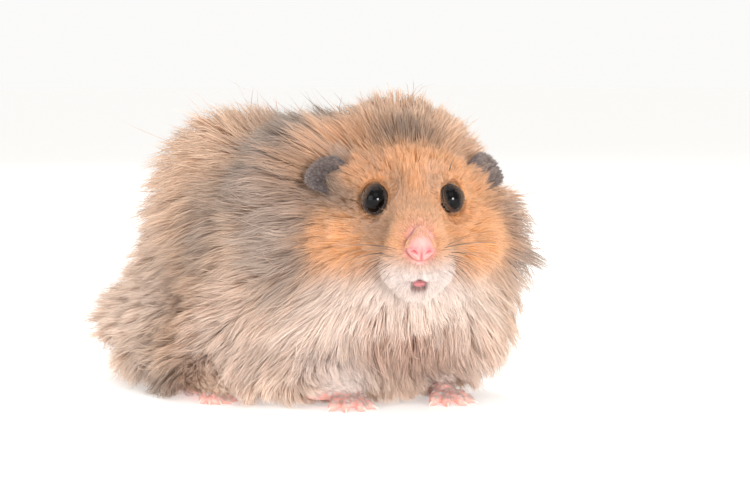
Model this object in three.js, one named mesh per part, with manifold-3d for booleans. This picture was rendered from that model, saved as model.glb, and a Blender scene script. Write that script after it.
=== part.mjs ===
// A long-haired Syrian hamster at life size, standing on four feet with its head turned to its right.
// Millimetres, +Z up, floor at Z = 0. The trunk points along -Y and the animal's left is +X.
// Every flesh solid reaches to the tips of the coat.
import * as THREE from "three";
import { mergeVertices } from "three/addons/utils/BufferGeometryUtils.js";
import Module from "manifold-3d";

const wasm = await Module();
wasm.setup();

// ---- driving dimensions ----
const seam = 0.3; // gap between neighbouring solids
const faceBlend = 1.6; // how softly neighbouring masses run into each other on the face
const bodyBlend = 4.5; // and from the neck back
const headTurn = 37; // degrees that the head turns to the animal's right
const eyeLine = new THREE.Vector3(-14.4, -54.3, 47.6); // midway between the eyes
const eyeRadius = 3.2;
const eyeSpread = 8.3; // from the midline to an eye's centre
const eyeBack = 1.3; // how far the eyes' centres lie behind the eye line
const noseRadii = new THREE.Vector3(2.6, 3.5, 3.2); // forward, sideways, up
const noseAt = [13.6, 0, -8.8];
const furClearance = 1.8; // lowest fur above the floor
const centring = new THREE.Vector3(6.94, 3.96, 0); // brings the middle of the bounding box to the origin

const up = new THREE.Vector3(0, 0, 1);
const radians = THREE.MathUtils.degToRad;

// ---- frames ----
// The head's own frame: X forward, Y to the animal's left, Z up, origin midway between the eyes.
const forward = new THREE.Vector3(-Math.sin(radians(headTurn)), -Math.cos(radians(headTurn)), 0);
const headFrame = new THREE.Matrix4()
  .makeBasis(forward, new THREE.Vector3().crossVectors(up, forward), up)
  .setPosition(eyeLine);
// The trunk's frame: the same axes for an animal that looks straight along -Y.
const trunkFrame = new THREE.Matrix4();

// ---- the masses that make the animal's form ----
// Each is an ellipsoid: name, centre, radii, and how far it is turned about Z in its frame.
const trunkMasses = [
  { name: "hips", at: [-7, 14, 48], radii: [20, 23, 19.5] },
  { name: "barrel", at: [-8, 5, 30], radii: [24, 36, 21] },
  { name: "shoulders", at: [-5, -17, 44], radii: [20, 21, 22] },
  { name: "skirt", at: [-9, 6, 10], radii: [36, 49, 23] },
  { name: "breast", at: [-3, -34, 22], radii: [25, 18, 11] },
  { name: "elbow", at: [13, -42, 15], radii: [9, 10, 8] },
];
const headMasses = [
  { name: "cranium", at: [-12, 0, 0], radii: [12.5, 13, 12.5] },
  { name: "bridge", at: [3, 0, -5.5], radii: [9.5, 5, 5] },
  { name: "muzzle", at: [5.5, 0, -11.5], radii: [8, 6, 5.5] },
  { name: "chin", at: [4.5, 0, -18.5], radii: [5.5, 4.5, 3.3] },
  { name: "nape", at: [-29, 0, 9], radii: [12, 14, 14] },
  { name: "throat", at: [-10, 0, -20], radii: [12, 15, 8] },
  { name: "chest_ruff", at: [-13, 0, -25], radii: [11, 18, 8] },
  ...[1, -1].flatMap((side) => [
    { name: "lip", at: [6.3, 3.8 * side, -14.6], radii: [4.8, 4, 3.4] },
    { name: "brow", at: [-4, 6.5 * side, 1.5], radii: [5.5, 4.5, 5] },
    { name: "cheek", at: [-8, 10 * side, -11], radii: [9.5, 9.5, 9] },
    { name: "cheek_ruff", at: [-19, 18 * side, -11], radii: [8.5, 12, 13] },
  ]),
];

const placed = (masses, frame) =>
  masses.map(({ at, radii, turn = 0 }) => ({
    radii: new THREE.Vector3(...radii),
    inward: new THREE.Matrix4()
      .multiplyMatrices(
        frame,
        new THREE.Matrix4().makeRotationZ(radians(turn)).setPosition(...at),
      )
      .invert(),
  }));
const masses = [...placed(trunkMasses, trunkFrame), ...placed(headMasses, headFrame)];

// Distance from a point to the blended surface of all the masses, negative inside.
const toHead = headFrame.clone().invert();
function distance(point) {
  const local = point.clone().applyMatrix4(toHead);
  const blend = THREE.MathUtils.lerp(
    bodyBlend,
    faceBlend,
    THREE.MathUtils.smoothstep(local.x, -22, 0),
  );
  let sum = 0;
  for (const mass of masses) {
    local.copy(point).applyMatrix4(mass.inward).divide(mass.radii);
    const k = local.length();
    const slope = local.divide(mass.radii).length();
    sum += Math.exp((-k * (k - 1)) / Math.max(slope, 1e-9) / blend);
  }
  return -blend * Math.log(sum);
}

// ---- wrapping a closed mesh round a spine ----
const headPoint = (x, y, z) => new THREE.Vector3(x, y, z).applyMatrix4(headFrame);
const spine = new THREE.CatmullRomCurve3([
  new THREE.Vector3(-6, 20, 27), // hips
  new THREE.Vector3(-6, 0, 29), // ribs
  new THREE.Vector3(-5, -19, 32), // shoulders
  headPoint(-16, 0, -8), // nape
  headPoint(-4, 0, -8.5), // between the eyes
  headPoint(6, 0, -11), // muzzle
]);
const neckStart = 0.5; // share of the spine where the trunk ends
const neckEnd = 0.64; // share of the spine where the head starts
const turnStart = 0.2; // shares of the spine between which it turns with the head
const turnEnd = 0.9;

// The point where a ray first leaves the body, grown by some distance.
function surfacePoint(from, direction, grow) {
  const toFloor = direction.z < 0 ? (from.z - furClearance + grow) / -direction.z : Infinity;
  let reach = 0;
  for (let step = 0; step < 60; step++) {
    const gap = grow - distance(from.clone().addScaledVector(direction, reach));
    reach += gap * 0.8;
    if (Math.abs(gap) < 1e-4 || reach > toFloor) break;
  }
  return from.clone().addScaledVector(direction, Math.min(reach, toFloor));
}

// A row of the mesh: rays from a place on the spine, leaning towards the spine's end by some degrees.
const rayRow = (share, lean = 0, shift = 0) => ({ share, lean, shift });
const capRow = (share, shift = 0) => ({ share, shift, cap: true });
const range = (count) => Array.from({ length: count }, (_, i) => i);

function wrapped(rows, around, grow = 0) {
  const points = rows.map((row) => {
    const heading = radians(headTurn) * THREE.MathUtils.smoothstep(row.share, turnStart, turnEnd);
    const along = new THREE.Vector3(-Math.sin(heading), -Math.cos(heading), 0);
    const side = new THREE.Vector3().crossVectors(up, along);
    const centre = spine.getPointAt(row.share).addScaledVector(along, row.shift);
    if (row.cap) return [centre];
    if (Math.abs(row.lean) === 90) return [surfacePoint(centre, along.multiplyScalar(row.lean / 90), grow)];
    const lean = radians(row.lean);
    return range(around).map((i) => {
      const turn = (2 * Math.PI * i) / around;
      const direction = along.clone().multiplyScalar(Math.sin(lean))
        .addScaledVector(side, Math.cos(lean) * Math.sin(turn))
        .addScaledVector(up, Math.cos(lean) * Math.cos(turn));
      return surfacePoint(centre, direction, grow);
    });
  });
  const firsts = rows.map((_, i) => points.slice(0, i).flat().length);
  const faces = [];
  range(rows.length - 1).forEach((i) => {
    range(around).forEach((j) => {
      const next = (j + 1) % around;
      const [a, b] = [firsts[i] + j, firsts[i] + next];
      const [c, d] = [firsts[i + 1] + next, firsts[i + 1] + j];
      if (points[i].length === 1) faces.push([firsts[i], d, c]);
      else if (points[i + 1].length === 1) faces.push([a, firsts[i + 1], b]);
      else if (
        points[i][j].distanceTo(points[i + 1][next]) < points[i][next].distanceTo(points[i + 1][j])
      ) faces.push([a, d, c], [a, c, b]);
      else faces.push([a, d, b], [b, d, c]);
    });
  });
  const geometry = new THREE.BufferGeometry().setFromPoints(points.flat());
  return geometry.setIndex(faces.flat());
}

// ---- solids and their joins ----
function solid(geometry) {
  const bare = geometry.clone();
  bare.deleteAttribute("normal");
  bare.deleteAttribute("uv");
  const merged = mergeVertices(bare, 1e-4);
  return new wasm.Manifold(
    new wasm.Mesh({
      numProp: 3,
      vertProperties: merged.getAttribute("position").array,
      triVerts: new Uint32Array(merged.index.array),
    }),
  );
}
const placedSolid = (geometry, matrix) => solid(geometry.clone().applyMatrix4(matrix));
const joined = (solids) => solids.reduce((whole, piece) => whole.add(piece));
// A cut can leave crumbs beside the piece that is wanted.
const mainPiece = (shape) =>
  shape.decompose().reduce((best, piece) => (piece.volume() > best.volume() ? piece : best));

function meshOf(name, shape, material) {
  const { vertProperties, triVerts } = mainPiece(shape).getMesh();
  const geometry = new THREE.BufferGeometry();
  geometry.setAttribute("position", new THREE.BufferAttribute(vertProperties, 3));
  geometry.setIndex(new THREE.BufferAttribute(triVerts, 1));
  geometry.computeVertexNormals();
  const mesh = new THREE.Mesh(geometry, material);
  mesh.name = name;
  return mesh;
}

// ---- materials ----
const coat = new THREE.MeshStandardMaterial({ color: 0xc79a72, roughness: 0.9, metalness: 0 });
const paleCoat = new THREE.MeshStandardMaterial({ color: 0xe6d6c8, roughness: 0.9, metalness: 0 });
const bareSkin = new THREE.MeshStandardMaterial({ color: 0xe8b0a4, roughness: 0.6, metalness: 0 });
const earSkin = new THREE.MeshStandardMaterial({ color: 0x6a6068, roughness: 0.7, metalness: 0 });
const eyeBlack = new THREE.MeshStandardMaterial({ color: 0x0d0908, roughness: 0.08, metalness: 0 });

// ---- eyes and nose ----
const ball = (radius, x, y, z) =>
  placedSolid(
    new THREE.SphereGeometry(radius, 14, 10),
    new THREE.Matrix4().multiplyMatrices(headFrame, new THREE.Matrix4().makeTranslation(x, y, z)),
  );
const eye = (side, grow = 0) => ball(eyeRadius + grow, -eyeBack, side * eyeSpread, 0);
function nose(grow = 0) {
  const sizes = noseRadii.clone().addScalar(grow);
  const place = new THREE.Matrix4()
    .multiplyMatrices(headFrame, new THREE.Matrix4().makeTranslation(...noseAt))
    .multiply(new THREE.Matrix4().makeScale(...sizes.toArray()));
  return placedSolid(new THREE.SphereGeometry(1, 12, 8), place);
}

// The opening between the lips.
const mouthAt = [9.6, 0, -16.8];
const mouthRadii = new THREE.Vector3(3, 3.2, 0.9);
function mouth() {
  const place = new THREE.Matrix4()
    .multiplyMatrices(headFrame, new THREE.Matrix4().makeTranslation(...mouthAt))
    .multiply(new THREE.Matrix4().makeScale(...mouthRadii.toArray()));
  return placedSolid(new THREE.SphereGeometry(1, 10, 6), place);
}

// ---- ears ----
// A thin cupped leaf that stands on its base: the sphere's near half is the ear's inside.
const earSize = { length: 11.5, width: 10.5, cup: 1.9, thick: 0.8, skew: 1.5 };
const ears = {
  left: { at: [-13.5, 14.5, 6.5], out: [-0.78, 0.6, 0.3], down: [0.15, 0.38, -0.9] },
  right: { at: [-12, -15.6, 4.2], out: [-0.36, -0.88, 0.3], down: [0.1, -0.5, -0.86] },
};
function earLeaf(side) {
  const around = 18;
  const rings = 8;
  const geometry = new THREE.SphereGeometry(1, around, rings);
  const place = geometry.getAttribute("position");
  for (let iy = 0; iy <= rings; iy++) {
    const lie = (Math.PI * iy) / rings;
    const reach = iy === 0 || iy === rings ? 0 : Math.sin(lie);
    for (let ix = 0; ix <= around; ix++) {
      const turn = (-side * 2 * Math.PI * (ix % around)) / around;
      const across = reach * Math.sin(turn);
      const along = reach * Math.cos(turn);
      const x = earSize.cup * (across * across + 0.35 * along * along) +
        Math.cos(lie) * earSize.thick * 0.5;
      const y = across * (1 - 0.12 * along) * earSize.width * 0.5 + earSize.skew * along;
      const z = (along + 0.7) * earSize.length * 0.5;
      place.setXYZ(iy * (around + 1) + ix, x, side * y, z);
    }
  }
  return geometry;
}
function ear(side, { at, out, down }) {
  const length = new THREE.Vector3(...out).normalize();
  const facing = new THREE.Vector3(...down).cross(length).multiplyScalar(side).normalize();
  const width = new THREE.Vector3().crossVectors(length, facing);
  const place = new THREE.Matrix4().makeBasis(facing, width, length).setPosition(...at);
  return placedSolid(earLeaf(side), new THREE.Matrix4().multiplyMatrices(headFrame, place));
}

// ---- legs, feet and tail ----
// A tapered limb between two points.
function limb(from, to, fromRadius, toRadius, sides = 10, steps = 2) {
  const way = new THREE.Vector3().subVectors(to, from);
  const round = (t) => (Math.PI / 2) * (t / steps);
  const profile = [
    new THREE.Vector2(0, -fromRadius),
    ...range(steps).map((t) =>
      new THREE.Vector2(fromRadius * Math.sin(round(t + 1)), -fromRadius * Math.cos(round(t + 1)))
    ),
    ...range(steps).map((t) =>
      new THREE.Vector2(toRadius * Math.cos(round(t)), way.length() + toRadius * Math.sin(round(t)))
    ),
    new THREE.Vector2(0, way.length() + toRadius),
  ];
  const turn = new THREE.Quaternion().setFromUnitVectors(
    new THREE.Vector3(0, 1, 0),
    way.clone().normalize(),
  );
  const place = new THREE.Matrix4().compose(from, turn, new THREE.Vector3(1, 1, 1));
  return placedSolid(new THREE.LatheGeometry(profile, sides), place);
}

// A foot: a palm, spread toes with two joints each, and a claw on each toe.
const fore = { palm: 2.9, palmBack: 3.5, toes: [-44, -15, 14, 42], reach: [4.4, 5.6, 5.6, 4.4],
  toeRadius: 1.1, claw: 1.5 };
const hind = { palm: 2.7, palmBack: 12, toes: [-34, -16, 0, 16, 34],
  reach: [4.0, 5.8, 6.2, 5.8, 4.2], toeRadius: 1.1, claw: 1.7 };
const feet = {
  forepaw_left: { kind: fore, at: [2, -46.5], turn: 22, elbow: [0.5, -38, 22], thick: [3.6, 6] },
  forepaw_right: { kind: fore, at: [-20, -37.5], turn: 25, elbow: [-15, -31, 22], thick: [3.6, 6] },
  hindpaw_left: { kind: hind, at: [24, -8], turn: -24, elbow: [9, 10, 20], thick: [3.6, 9] },
  hindpaw_right: { kind: hind, at: [-35.5, -9], turn: 26, elbow: [-23, 9, 20], thick: [3.6, 9] },
};
const footTop = 5.2; // where a foot ends and its leg starts
const heading = (degrees) =>
  new THREE.Vector3(-Math.sin(radians(degrees)), -Math.cos(radians(degrees)), 0);

function foot({ kind, at, turn }) {
  const middle = new THREE.Vector3(at[0], at[1], kind.palm * 0.72);
  const back = middle.clone().addScaledVector(heading(turn), -kind.palmBack);
  const pieces = [limb(back, middle, kind.palm * 0.85, kind.palm, 8)];
  kind.toes.forEach((spread, i) => {
    const way = heading(turn + spread);
    const knuckle = middle.clone().addScaledVector(way, kind.palm + kind.reach[i] * 0.3);
    knuckle.z = kind.toeRadius * 1.7;
    const tip = middle.clone().addScaledVector(way, kind.palm + kind.reach[i] * 0.8);
    tip.z = kind.toeRadius * 0.8;
    const claw = tip.clone().addScaledVector(way, kind.claw);
    claw.z = 0.4;
    const root = middle.clone().addScaledVector(way, kind.palm * 0.4);
    pieces.push(limb(root, knuckle, kind.toeRadius, kind.toeRadius, 6, 1));
    pieces.push(limb(knuckle, tip, kind.toeRadius, kind.toeRadius * 0.95, 6, 1));
    pieces.push(limb(tip, claw, 0.5, 0.28, 5, 1));
  });
  return joined(pieces);
}

// A furred leg: from the foot's heel up into the body.
function leg({ kind, at, turn, elbow, thick }, grow = 0) {
  const heel = new THREE.Vector3(at[0], at[1], footTop)
    .addScaledVector(heading(turn), -kind.palmBack * 0.6);
  const [low, high] = thick.map((radius) => radius + grow);
  return limb(heel, new THREE.Vector3(...elbow), low, high, 12, 3);
}
const slab = (low, high) =>
  solid(new THREE.BoxGeometry(300, 300, high - low).translate(0, 0, (low + high) / 2));

const tailRoot = new THREE.Vector3(-8, 45, 19);
const tailTip = new THREE.Vector3(-8.6, 59, 13);

// ---- the body's rows ----
const trunkRows = [
  ...[-90, -68, -48, -30, -14].map((lean) => rayRow(0, lean)),
  ...range(9).map((i) => rayRow((i / 9) * neckStart)),
  rayRow(neckStart, 0, -seam / 2),
  capRow(neckStart, -seam / 2),
];
const neckRows = [
  capRow(neckStart, seam / 2),
  rayRow(neckStart, 0, seam / 2),
  rayRow((neckStart * 2 + neckEnd) / 3),
  rayRow((neckStart + neckEnd * 2) / 3),
  rayRow(neckEnd, 0, -seam / 2),
  capRow(neckEnd, -seam / 2),
];
const headRows = [
  capRow(neckEnd, seam / 2),
  rayRow(neckEnd, 0, seam / 2),
  ...range(14).map((i) => rayRow(neckEnd + ((i + 1) / 14) * (1 - neckEnd))),
  ...[10, 20, 30, 40, 51, 63, 76, 90].map((lean) => rayRow(1, lean)),
];

// ---- assembly ----
const bodyRows = [[trunkRows, 36], [neckRows, 36], [headRows, 40]];
const [trunkWhole, neckWhole, headWhole] = bodyRows.map(([rows, around]) => solid(wrapped(rows, around)));
const bodyGrown = joined(bodyRows.map(([rows, around]) => solid(wrapped(rows, around, seam))));

const animal = new THREE.Group();
const legSockets = joined(Object.values(feet).map((place) => leg(place, seam)));
const faceHollows = joined([eye(1, seam), eye(-1, seam), nose(seam), mouth()]);
animal.add(meshOf("trunk", trunkWhole.subtract(legSockets), coat));
animal.add(meshOf("neck", neckWhole.subtract(legSockets), coat));
animal.add(meshOf("head", headWhole.subtract(faceHollows).subtract(legSockets), coat));
animal.add(meshOf("eye_left", eye(1), eyeBlack));
animal.add(meshOf("eye_right", eye(-1), eyeBlack));
animal.add(meshOf("nose", nose(), bareSkin));
for (const [side, place] of Object.entries(ears)) {
  animal.add(meshOf("ear_" + side, ear(side === "left" ? 1 : -1, place).subtract(bodyGrown), earSkin));
}
for (const [name, place] of Object.entries(feet)) {
  const paw = foot(place).subtract(slab(-20, 0)).subtract(slab(footTop, 60)).subtract(bodyGrown);
  animal.add(meshOf(name, paw, bareSkin));
  animal.add(
    meshOf(name.replace("paw", "leg"), leg(place).subtract(slab(-20, footTop + seam)), paleCoat),
  );
}
animal.add(meshOf("tail", limb(tailRoot, tailTip, 2.6, 1.3).subtract(bodyGrown), bareSkin));
animal.position.copy(centring);

export default animal;
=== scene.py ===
# A long-haired hamster at life size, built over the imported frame. Lengths are in millimetres
# until a mesh is stored; the frame and every finished piece are in metres.
import math

import bmesh
import bpy
import numpy as np
from mathutils import Matrix, Vector
from mathutils.bvhtree import BVHTree


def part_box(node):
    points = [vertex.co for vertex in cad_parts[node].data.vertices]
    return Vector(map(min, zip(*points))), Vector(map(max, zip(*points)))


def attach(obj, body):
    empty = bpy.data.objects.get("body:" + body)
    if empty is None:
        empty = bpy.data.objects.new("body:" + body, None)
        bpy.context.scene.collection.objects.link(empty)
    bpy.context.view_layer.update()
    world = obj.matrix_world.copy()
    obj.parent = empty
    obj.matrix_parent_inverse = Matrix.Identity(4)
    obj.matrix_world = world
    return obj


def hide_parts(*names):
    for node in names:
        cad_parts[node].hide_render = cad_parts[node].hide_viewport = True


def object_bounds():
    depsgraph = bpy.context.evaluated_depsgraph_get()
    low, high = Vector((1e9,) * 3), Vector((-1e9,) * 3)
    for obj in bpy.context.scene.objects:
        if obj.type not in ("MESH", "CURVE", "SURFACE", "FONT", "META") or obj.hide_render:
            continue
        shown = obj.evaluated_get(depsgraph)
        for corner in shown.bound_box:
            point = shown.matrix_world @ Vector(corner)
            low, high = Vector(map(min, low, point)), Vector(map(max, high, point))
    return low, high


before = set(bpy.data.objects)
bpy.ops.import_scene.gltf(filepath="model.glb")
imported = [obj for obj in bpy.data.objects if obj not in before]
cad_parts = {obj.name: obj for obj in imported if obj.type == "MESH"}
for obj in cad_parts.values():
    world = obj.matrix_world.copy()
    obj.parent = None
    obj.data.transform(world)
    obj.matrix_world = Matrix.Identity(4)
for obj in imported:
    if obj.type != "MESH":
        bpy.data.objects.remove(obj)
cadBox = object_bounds()
mm = 0.001
fullTurn = 6.28
print("frame loaded")


def unit(v):
    v = np.asarray(v, float)
    return v / np.maximum(np.linalg.norm(v, axis=-1, keepdims=True), 1e-9)


def ease(low, high, x):
    t = np.clip((np.asarray(x, float) - low) / (high - low), 0, 1)
    return t * t * (3 - 2 * t)


def within(local, centre, radii):
    # how far out places lie in an ellipsoid: 0 at its centre, 1 on its surface
    return np.linalg.norm((local - np.array(centre)) / np.array(radii), axis=1)


def nodeBox(name):
    low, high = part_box(name)
    return np.array(low) / mm, np.array(high) / mm


def nodeCentre(name):
    low, high = nodeBox(name)
    return (low + high) / 2


def linear(tint):
    c = np.asarray(tint, float) / 255  # a tint is written as 0 to 255 on the screen's scale
    return np.where(c <= 0.04045, c / 12.92, ((c + 0.055) / 1.055) ** 2.4)


def meshOf(name, bm):
    mesh = bpy.data.meshes.new(name)
    bm.to_mesh(mesh)
    bm.free()
    return mesh


def linked(name, data):
    added = bpy.data.objects.new(name, data)
    bpy.context.scene.collection.objects.link(added)
    return added


def placed(name, mesh, material):
    mesh.materials.append(material)
    mesh.shade_smooth()
    piece = linked(name, mesh)
    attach(piece, "root")
    return piece


def setInputs(node, values):
    for name, value in values.items():
        node.inputs[name].default_value = value


def addPart(joined, bm):
    # adds one mesh to another and returns how many points it brings
    passing = meshOf("passing", bm)
    joined.from_mesh(passing)
    count = len(passing.vertices)
    bpy.data.meshes.remove(passing)
    return count


def evaluated(mesh, setUp):
    # runs the modifiers that setUp adds to a passing object and returns the finished mesh
    passing = linked("passing", mesh)
    setUp(passing)
    graph = bpy.context.evaluated_depsgraph_get()
    result = bpy.data.meshes.new_from_object(passing.evaluated_get(graph))
    bpy.data.objects.remove(passing)
    return result


def pointsOf(mesh):
    flat = np.empty(len(mesh.vertices) * 3)
    mesh.vertices.foreach_get("co", flat)
    return flat.reshape(-1, 3) / mm


def storePoints(mesh, points):
    mesh.vertices.foreach_set("co", (points * mm).ravel())
    mesh.update()


def edgesOf(mesh):
    flat = np.empty(len(mesh.edges) * 2, np.int32)
    mesh.edges.foreach_get("vertices", flat)
    return flat.reshape(-1, 2)


def trianglesOf(mesh):
    mesh.calc_loop_triangles()
    flat = np.empty(len(mesh.loop_triangles) * 3, np.int32)
    mesh.loop_triangles.foreach_get("vertices", flat)
    return flat.reshape(-1, 3)


def relaxed(values, edges, rounds, share=0.5):
    # each round moves every value towards the mean of its neighbours, by a share that may vary
    a, b = edges[:, 0], edges[:, 1]
    size = len(values)
    degree = np.maximum(np.bincount(edges.ravel(), minlength=size), 1)[:, None]
    for _ in range(rounds):
        total = np.stack([np.bincount(a, values[b, k], size) + np.bincount(b, values[a, k], size)
                          for k in range(values.shape[1])], 1)
        values = values + share * (total / degree - values)
    return values


def pointNormals(points, triangles):
    p, q, r = (points[triangles[:, k]] for k in range(3))
    face = np.cross(q - p, r - p)
    total = np.stack([sum(np.bincount(triangles[:, c], face[:, k], len(points)) for c in range(3))
                      for k in range(3)], 1)
    return unit(total)


def colourLayer(mesh, name, colours):
    layer = mesh.attributes.new(name, "FLOAT_COLOR", "POINT")
    rgba = np.ones((len(colours), 4), np.float32)
    rgba[:, :3] = colours
    layer.data.foreach_set("color", rgba.ravel())


def valueLayer(mesh, name, values):
    layer = mesh.attributes.new(name, "FLOAT", "POINT")
    layer.data.foreach_set("value", np.asarray(values, np.float32))


# the head's own axes: forward, left and up from a point between the eyes
headPlan = {"eyeBack": 1.3, "bodyAside": -0.3}
eyeAt = {side: nodeCentre("eye_" + side) for side in ("left", "right")}
leftAxis = unit(eyeAt["left"] - eyeAt["right"])
upAxis = np.array((0.0, 0.0, 1.0))
forwardAxis = np.cross(leftAxis, upAxis)
headAxes = np.array((forwardAxis, leftAxis, upAxis))
headOrigin = (eyeAt["left"] + eyeAt["right"]) / 2 + headPlan["eyeBack"] * forwardAxis
bodyMiddle = nodeCentre("trunk")[0] + headPlan["bodyAside"]
eyeRadius = (nodeBox("eye_left")[1] - nodeBox("eye_left")[0])[2] / 2
noseAt = nodeCentre("nose")


def toHead(points):
    return (np.asarray(points, float) - headOrigin) @ headAxes.T


def fromHead(points):
    return headOrigin + np.asarray(points, float) @ headAxes


def headWay(way):
    return np.asarray(way, float) @ headAxes


# camera, floor and light
cameraPlan = {
    "azimuth": -42.0, "elevation": 5.0, "distance": 463.0, "lens": 100.0, "sensor": 36, "clip": (0.01, 20),
    "target": (-10.46, -40.94, 35.96),
}
# floorSize: half its width, in metres
roomPlan = {
    "glow": {"Color": (1.0, 0.985, 0.965, 1), "Strength": 0.6},
    "wall": {"Color": (0.968, 0.962, 0.953, 1)},
    "floor": {
        "Base Color": (0.93, 0.925, 0.915, 1), "Roughness": 0.7, "Specular IOR Level": 0.2,
        "Emission Color": (1.0, 0.995, 0.98, 1), "Emission Strength": 0.41,
    },
    "floorSize": 6.0,
}
lightPlan = {
    "key": {"at": (-420, -520, 560), "aim": (0, -10, 30), "size": 460, "power": 0.6},
    "fill": {"at": (380, -560, 230), "aim": (0, -10, 30), "size": 460, "power": 0.35},
    "side": {"at": (-600, -80, 150), "aim": (0, 0, 25), "size": 380, "power": 1.1},
    "top": {"at": (0, 60, 760), "aim": (0, 0, 30), "size": 560, "power": 1.0},
    "back": {"at": (160, 640, 620), "aim": (0, 0, 30), "size": 480, "power": 3.0},
    "glint": {"at": (-222, -520, 70), "aim": (-10, -50, 40), "size": 130, "power": 2.15},
}


def setCamera():
    plan = cameraPlan
    a, e = math.radians(plan["azimuth"]), math.radians(plan["elevation"])
    back = Vector((math.sin(a) * math.cos(e), -math.cos(a) * math.cos(e), math.sin(e)))
    data = bpy.data.cameras.new("camera")
    data.lens = plan["lens"]
    data.sensor_width = plan["sensor"]
    data.clip_start, data.clip_end = plan["clip"]
    camera = linked("camera", data)
    camera.location = (Vector(plan["target"]) + back * plan["distance"]) * mm
    camera.rotation_euler = (-back).to_track_quat("-Z", "Y").to_euler()
    bpy.context.scene.camera = camera


def setLights():
    world = bpy.data.worlds.new("softRoom")
    world.use_nodes = True
    tree = world.node_tree
    glow = tree.nodes["Background"]
    setInputs(glow, roomPlan["glow"])
    wall = tree.nodes.new("ShaderNodeBackground")  # what the camera sees behind the floor
    setInputs(wall, roomPlan["wall"])
    pick = tree.nodes.new("ShaderNodeMixShader")
    tree.links.new(tree.nodes.new("ShaderNodeLightPath").outputs["Is Camera Ray"], pick.inputs["Fac"])
    tree.links.new(glow.outputs[0], pick.inputs[1])
    tree.links.new(wall.outputs[0], pick.inputs[2])
    tree.links.new(pick.outputs[0], tree.nodes["World Output"].inputs["Surface"])
    bpy.context.scene.world = world
    for name, plan in lightPlan.items():
        data = bpy.data.lights.new(name, "AREA")
        data.size = plan["size"] * mm
        data.energy = plan["power"]
        lamp = linked(name, data)
        lamp.location = Vector(plan["at"]) * mm
        aim = Vector(plan["aim"]) - Vector(plan["at"])
        lamp.rotation_euler = aim.to_track_quat("-Z", "Y").to_euler()


def setFloor():
    material = bpy.data.materials.new("paleFloor")
    material.use_nodes = True
    shader = material.node_tree.nodes["Principled BSDF"]
    setInputs(shader, roomPlan["floor"])
    bm = bmesh.new()
    bmesh.ops.create_grid(bm, x_segments=1, y_segments=1, size=roomPlan["floorSize"])
    mesh = meshOf("floor", bm)
    mesh.materials.append(material)
    floor = linked("floor", mesh)


setCamera()
setLights()
setFloor()
bpy.context.scene.view_settings.view_transform = "Standard"
print("camera, lights and floor set")


# how the coat lies, at named places that are mirrored where they stand off the middle
def station(at, depth, length, lift, lie, puff=0):
    # depth: how far the skin lies inside the outline; lift: the hair's slope at the root, in degrees;
    # lie: the way it runs; puff: how far it stands beyond the outline
    return {"at": at, "depth": depth, "length": length, "lift": lift, "lie": lie, "puff": puff}


headCoat = {
    "noseTop": station((13.6, 0, -4.6), 0.2, 1.0, 20, (-1, 0, 0.7)),
    "bridge": station((9.5, 0, -2.8), 0.5, 1.8, 20, (-1, 0, 0.6)),
    "stop": station((5.5, 0, 1), 0.8, 2.8, 22, (-0.8, 0, 1)),
    "muzzleSide": station((9.5, 5, -8), 0.5, 2.1, 20, (-1, 0.4, 0.05)),
    "lipPad": station((10.5, 5.5, -14.5), 0.5, 2.3, 24, (-0.6, 0.7, -0.5)),
    "lipFront": station((13, 1.8, -14.6), 0.3, 1.5, 20, (-0.2, 0.35, -1)),
    "chin": station((9.5, 0, -21), 0.9, 3.6, 26, (-0.5, 0, -1)),
    "forehead": station((-0.5, 0, 7.2), 1.2, 4.4, 24, (-1, 0, 0.6)),
    "brow": station((-1.5, 7, 6.8), 1.2, 4.2, 24, (-1, 0.25, 0.3)),
    "crown": station((-13, 0, 14), 2.8, 8.5, 40, (-1, 0, 0.4)),
    "crownSide": station((-15, 9, 12.5), 2.8, 10, 44, (-1, 0.4, 0.5), puff=1.5),
    "nape": station((-25, 0, 21), 6.5, 14, 42, (-1, 0, 0.25)),
    "eyeInner": station((5, 5, -0.5), 0.5, 2.0, 20, (-0.8, 0.1, 0.6)),
    "eyeOuter": station((-3.5, 11.5, 0), 0.9, 3.4, 20, (-1, 0.4, 0)),
    "underEye": station((3.5, 8.5, -6.5), 0.7, 2.9, 20, (-0.9, 0.6, -0.1)),
    "cheek": station((-4, 15, -9), 2.2, 7, 24, (-1, 0.6, -0.25)),
    "cheekLow": station((1, 11, -18), 2.0, 6.5, 26, (-0.6, 0.6, -0.8)),
    "temple": station((-9, 13, 4.5), 1.6, 5.2, 34, (-0.9, 0.45, 0.25)),
    "earFront": station((-9.5, 11.5, 7.5), 1.6, 4.8, 42, (-0.8, 0.5, 0.5)),
    "earBack": station((-20, 15, 8), 4.5, 14, 48, (-0.7, 0.8, 0.35), puff=4),
    "ruff": station((-17, 27, -9), 7, 15, 36, (-0.8, 0.6, -0.4), puff=1.5),
    "ruffTop": station((-22, 21, 2), 6, 17, 50, (-0.6, 1, 0.3), puff=5.5),
    "ruffLow": station((-13, 22, -22), 6.5, 14, 32, (-0.5, 0.5, -1)),
    "throat": station((1, 0, -26), 4.5, 11, 30, (-0.1, 0, -1)),
    "throatSide": station((-3, 12, -26), 4.8, 12, 32, (-0.2, 0.35, -1)),
}
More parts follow.
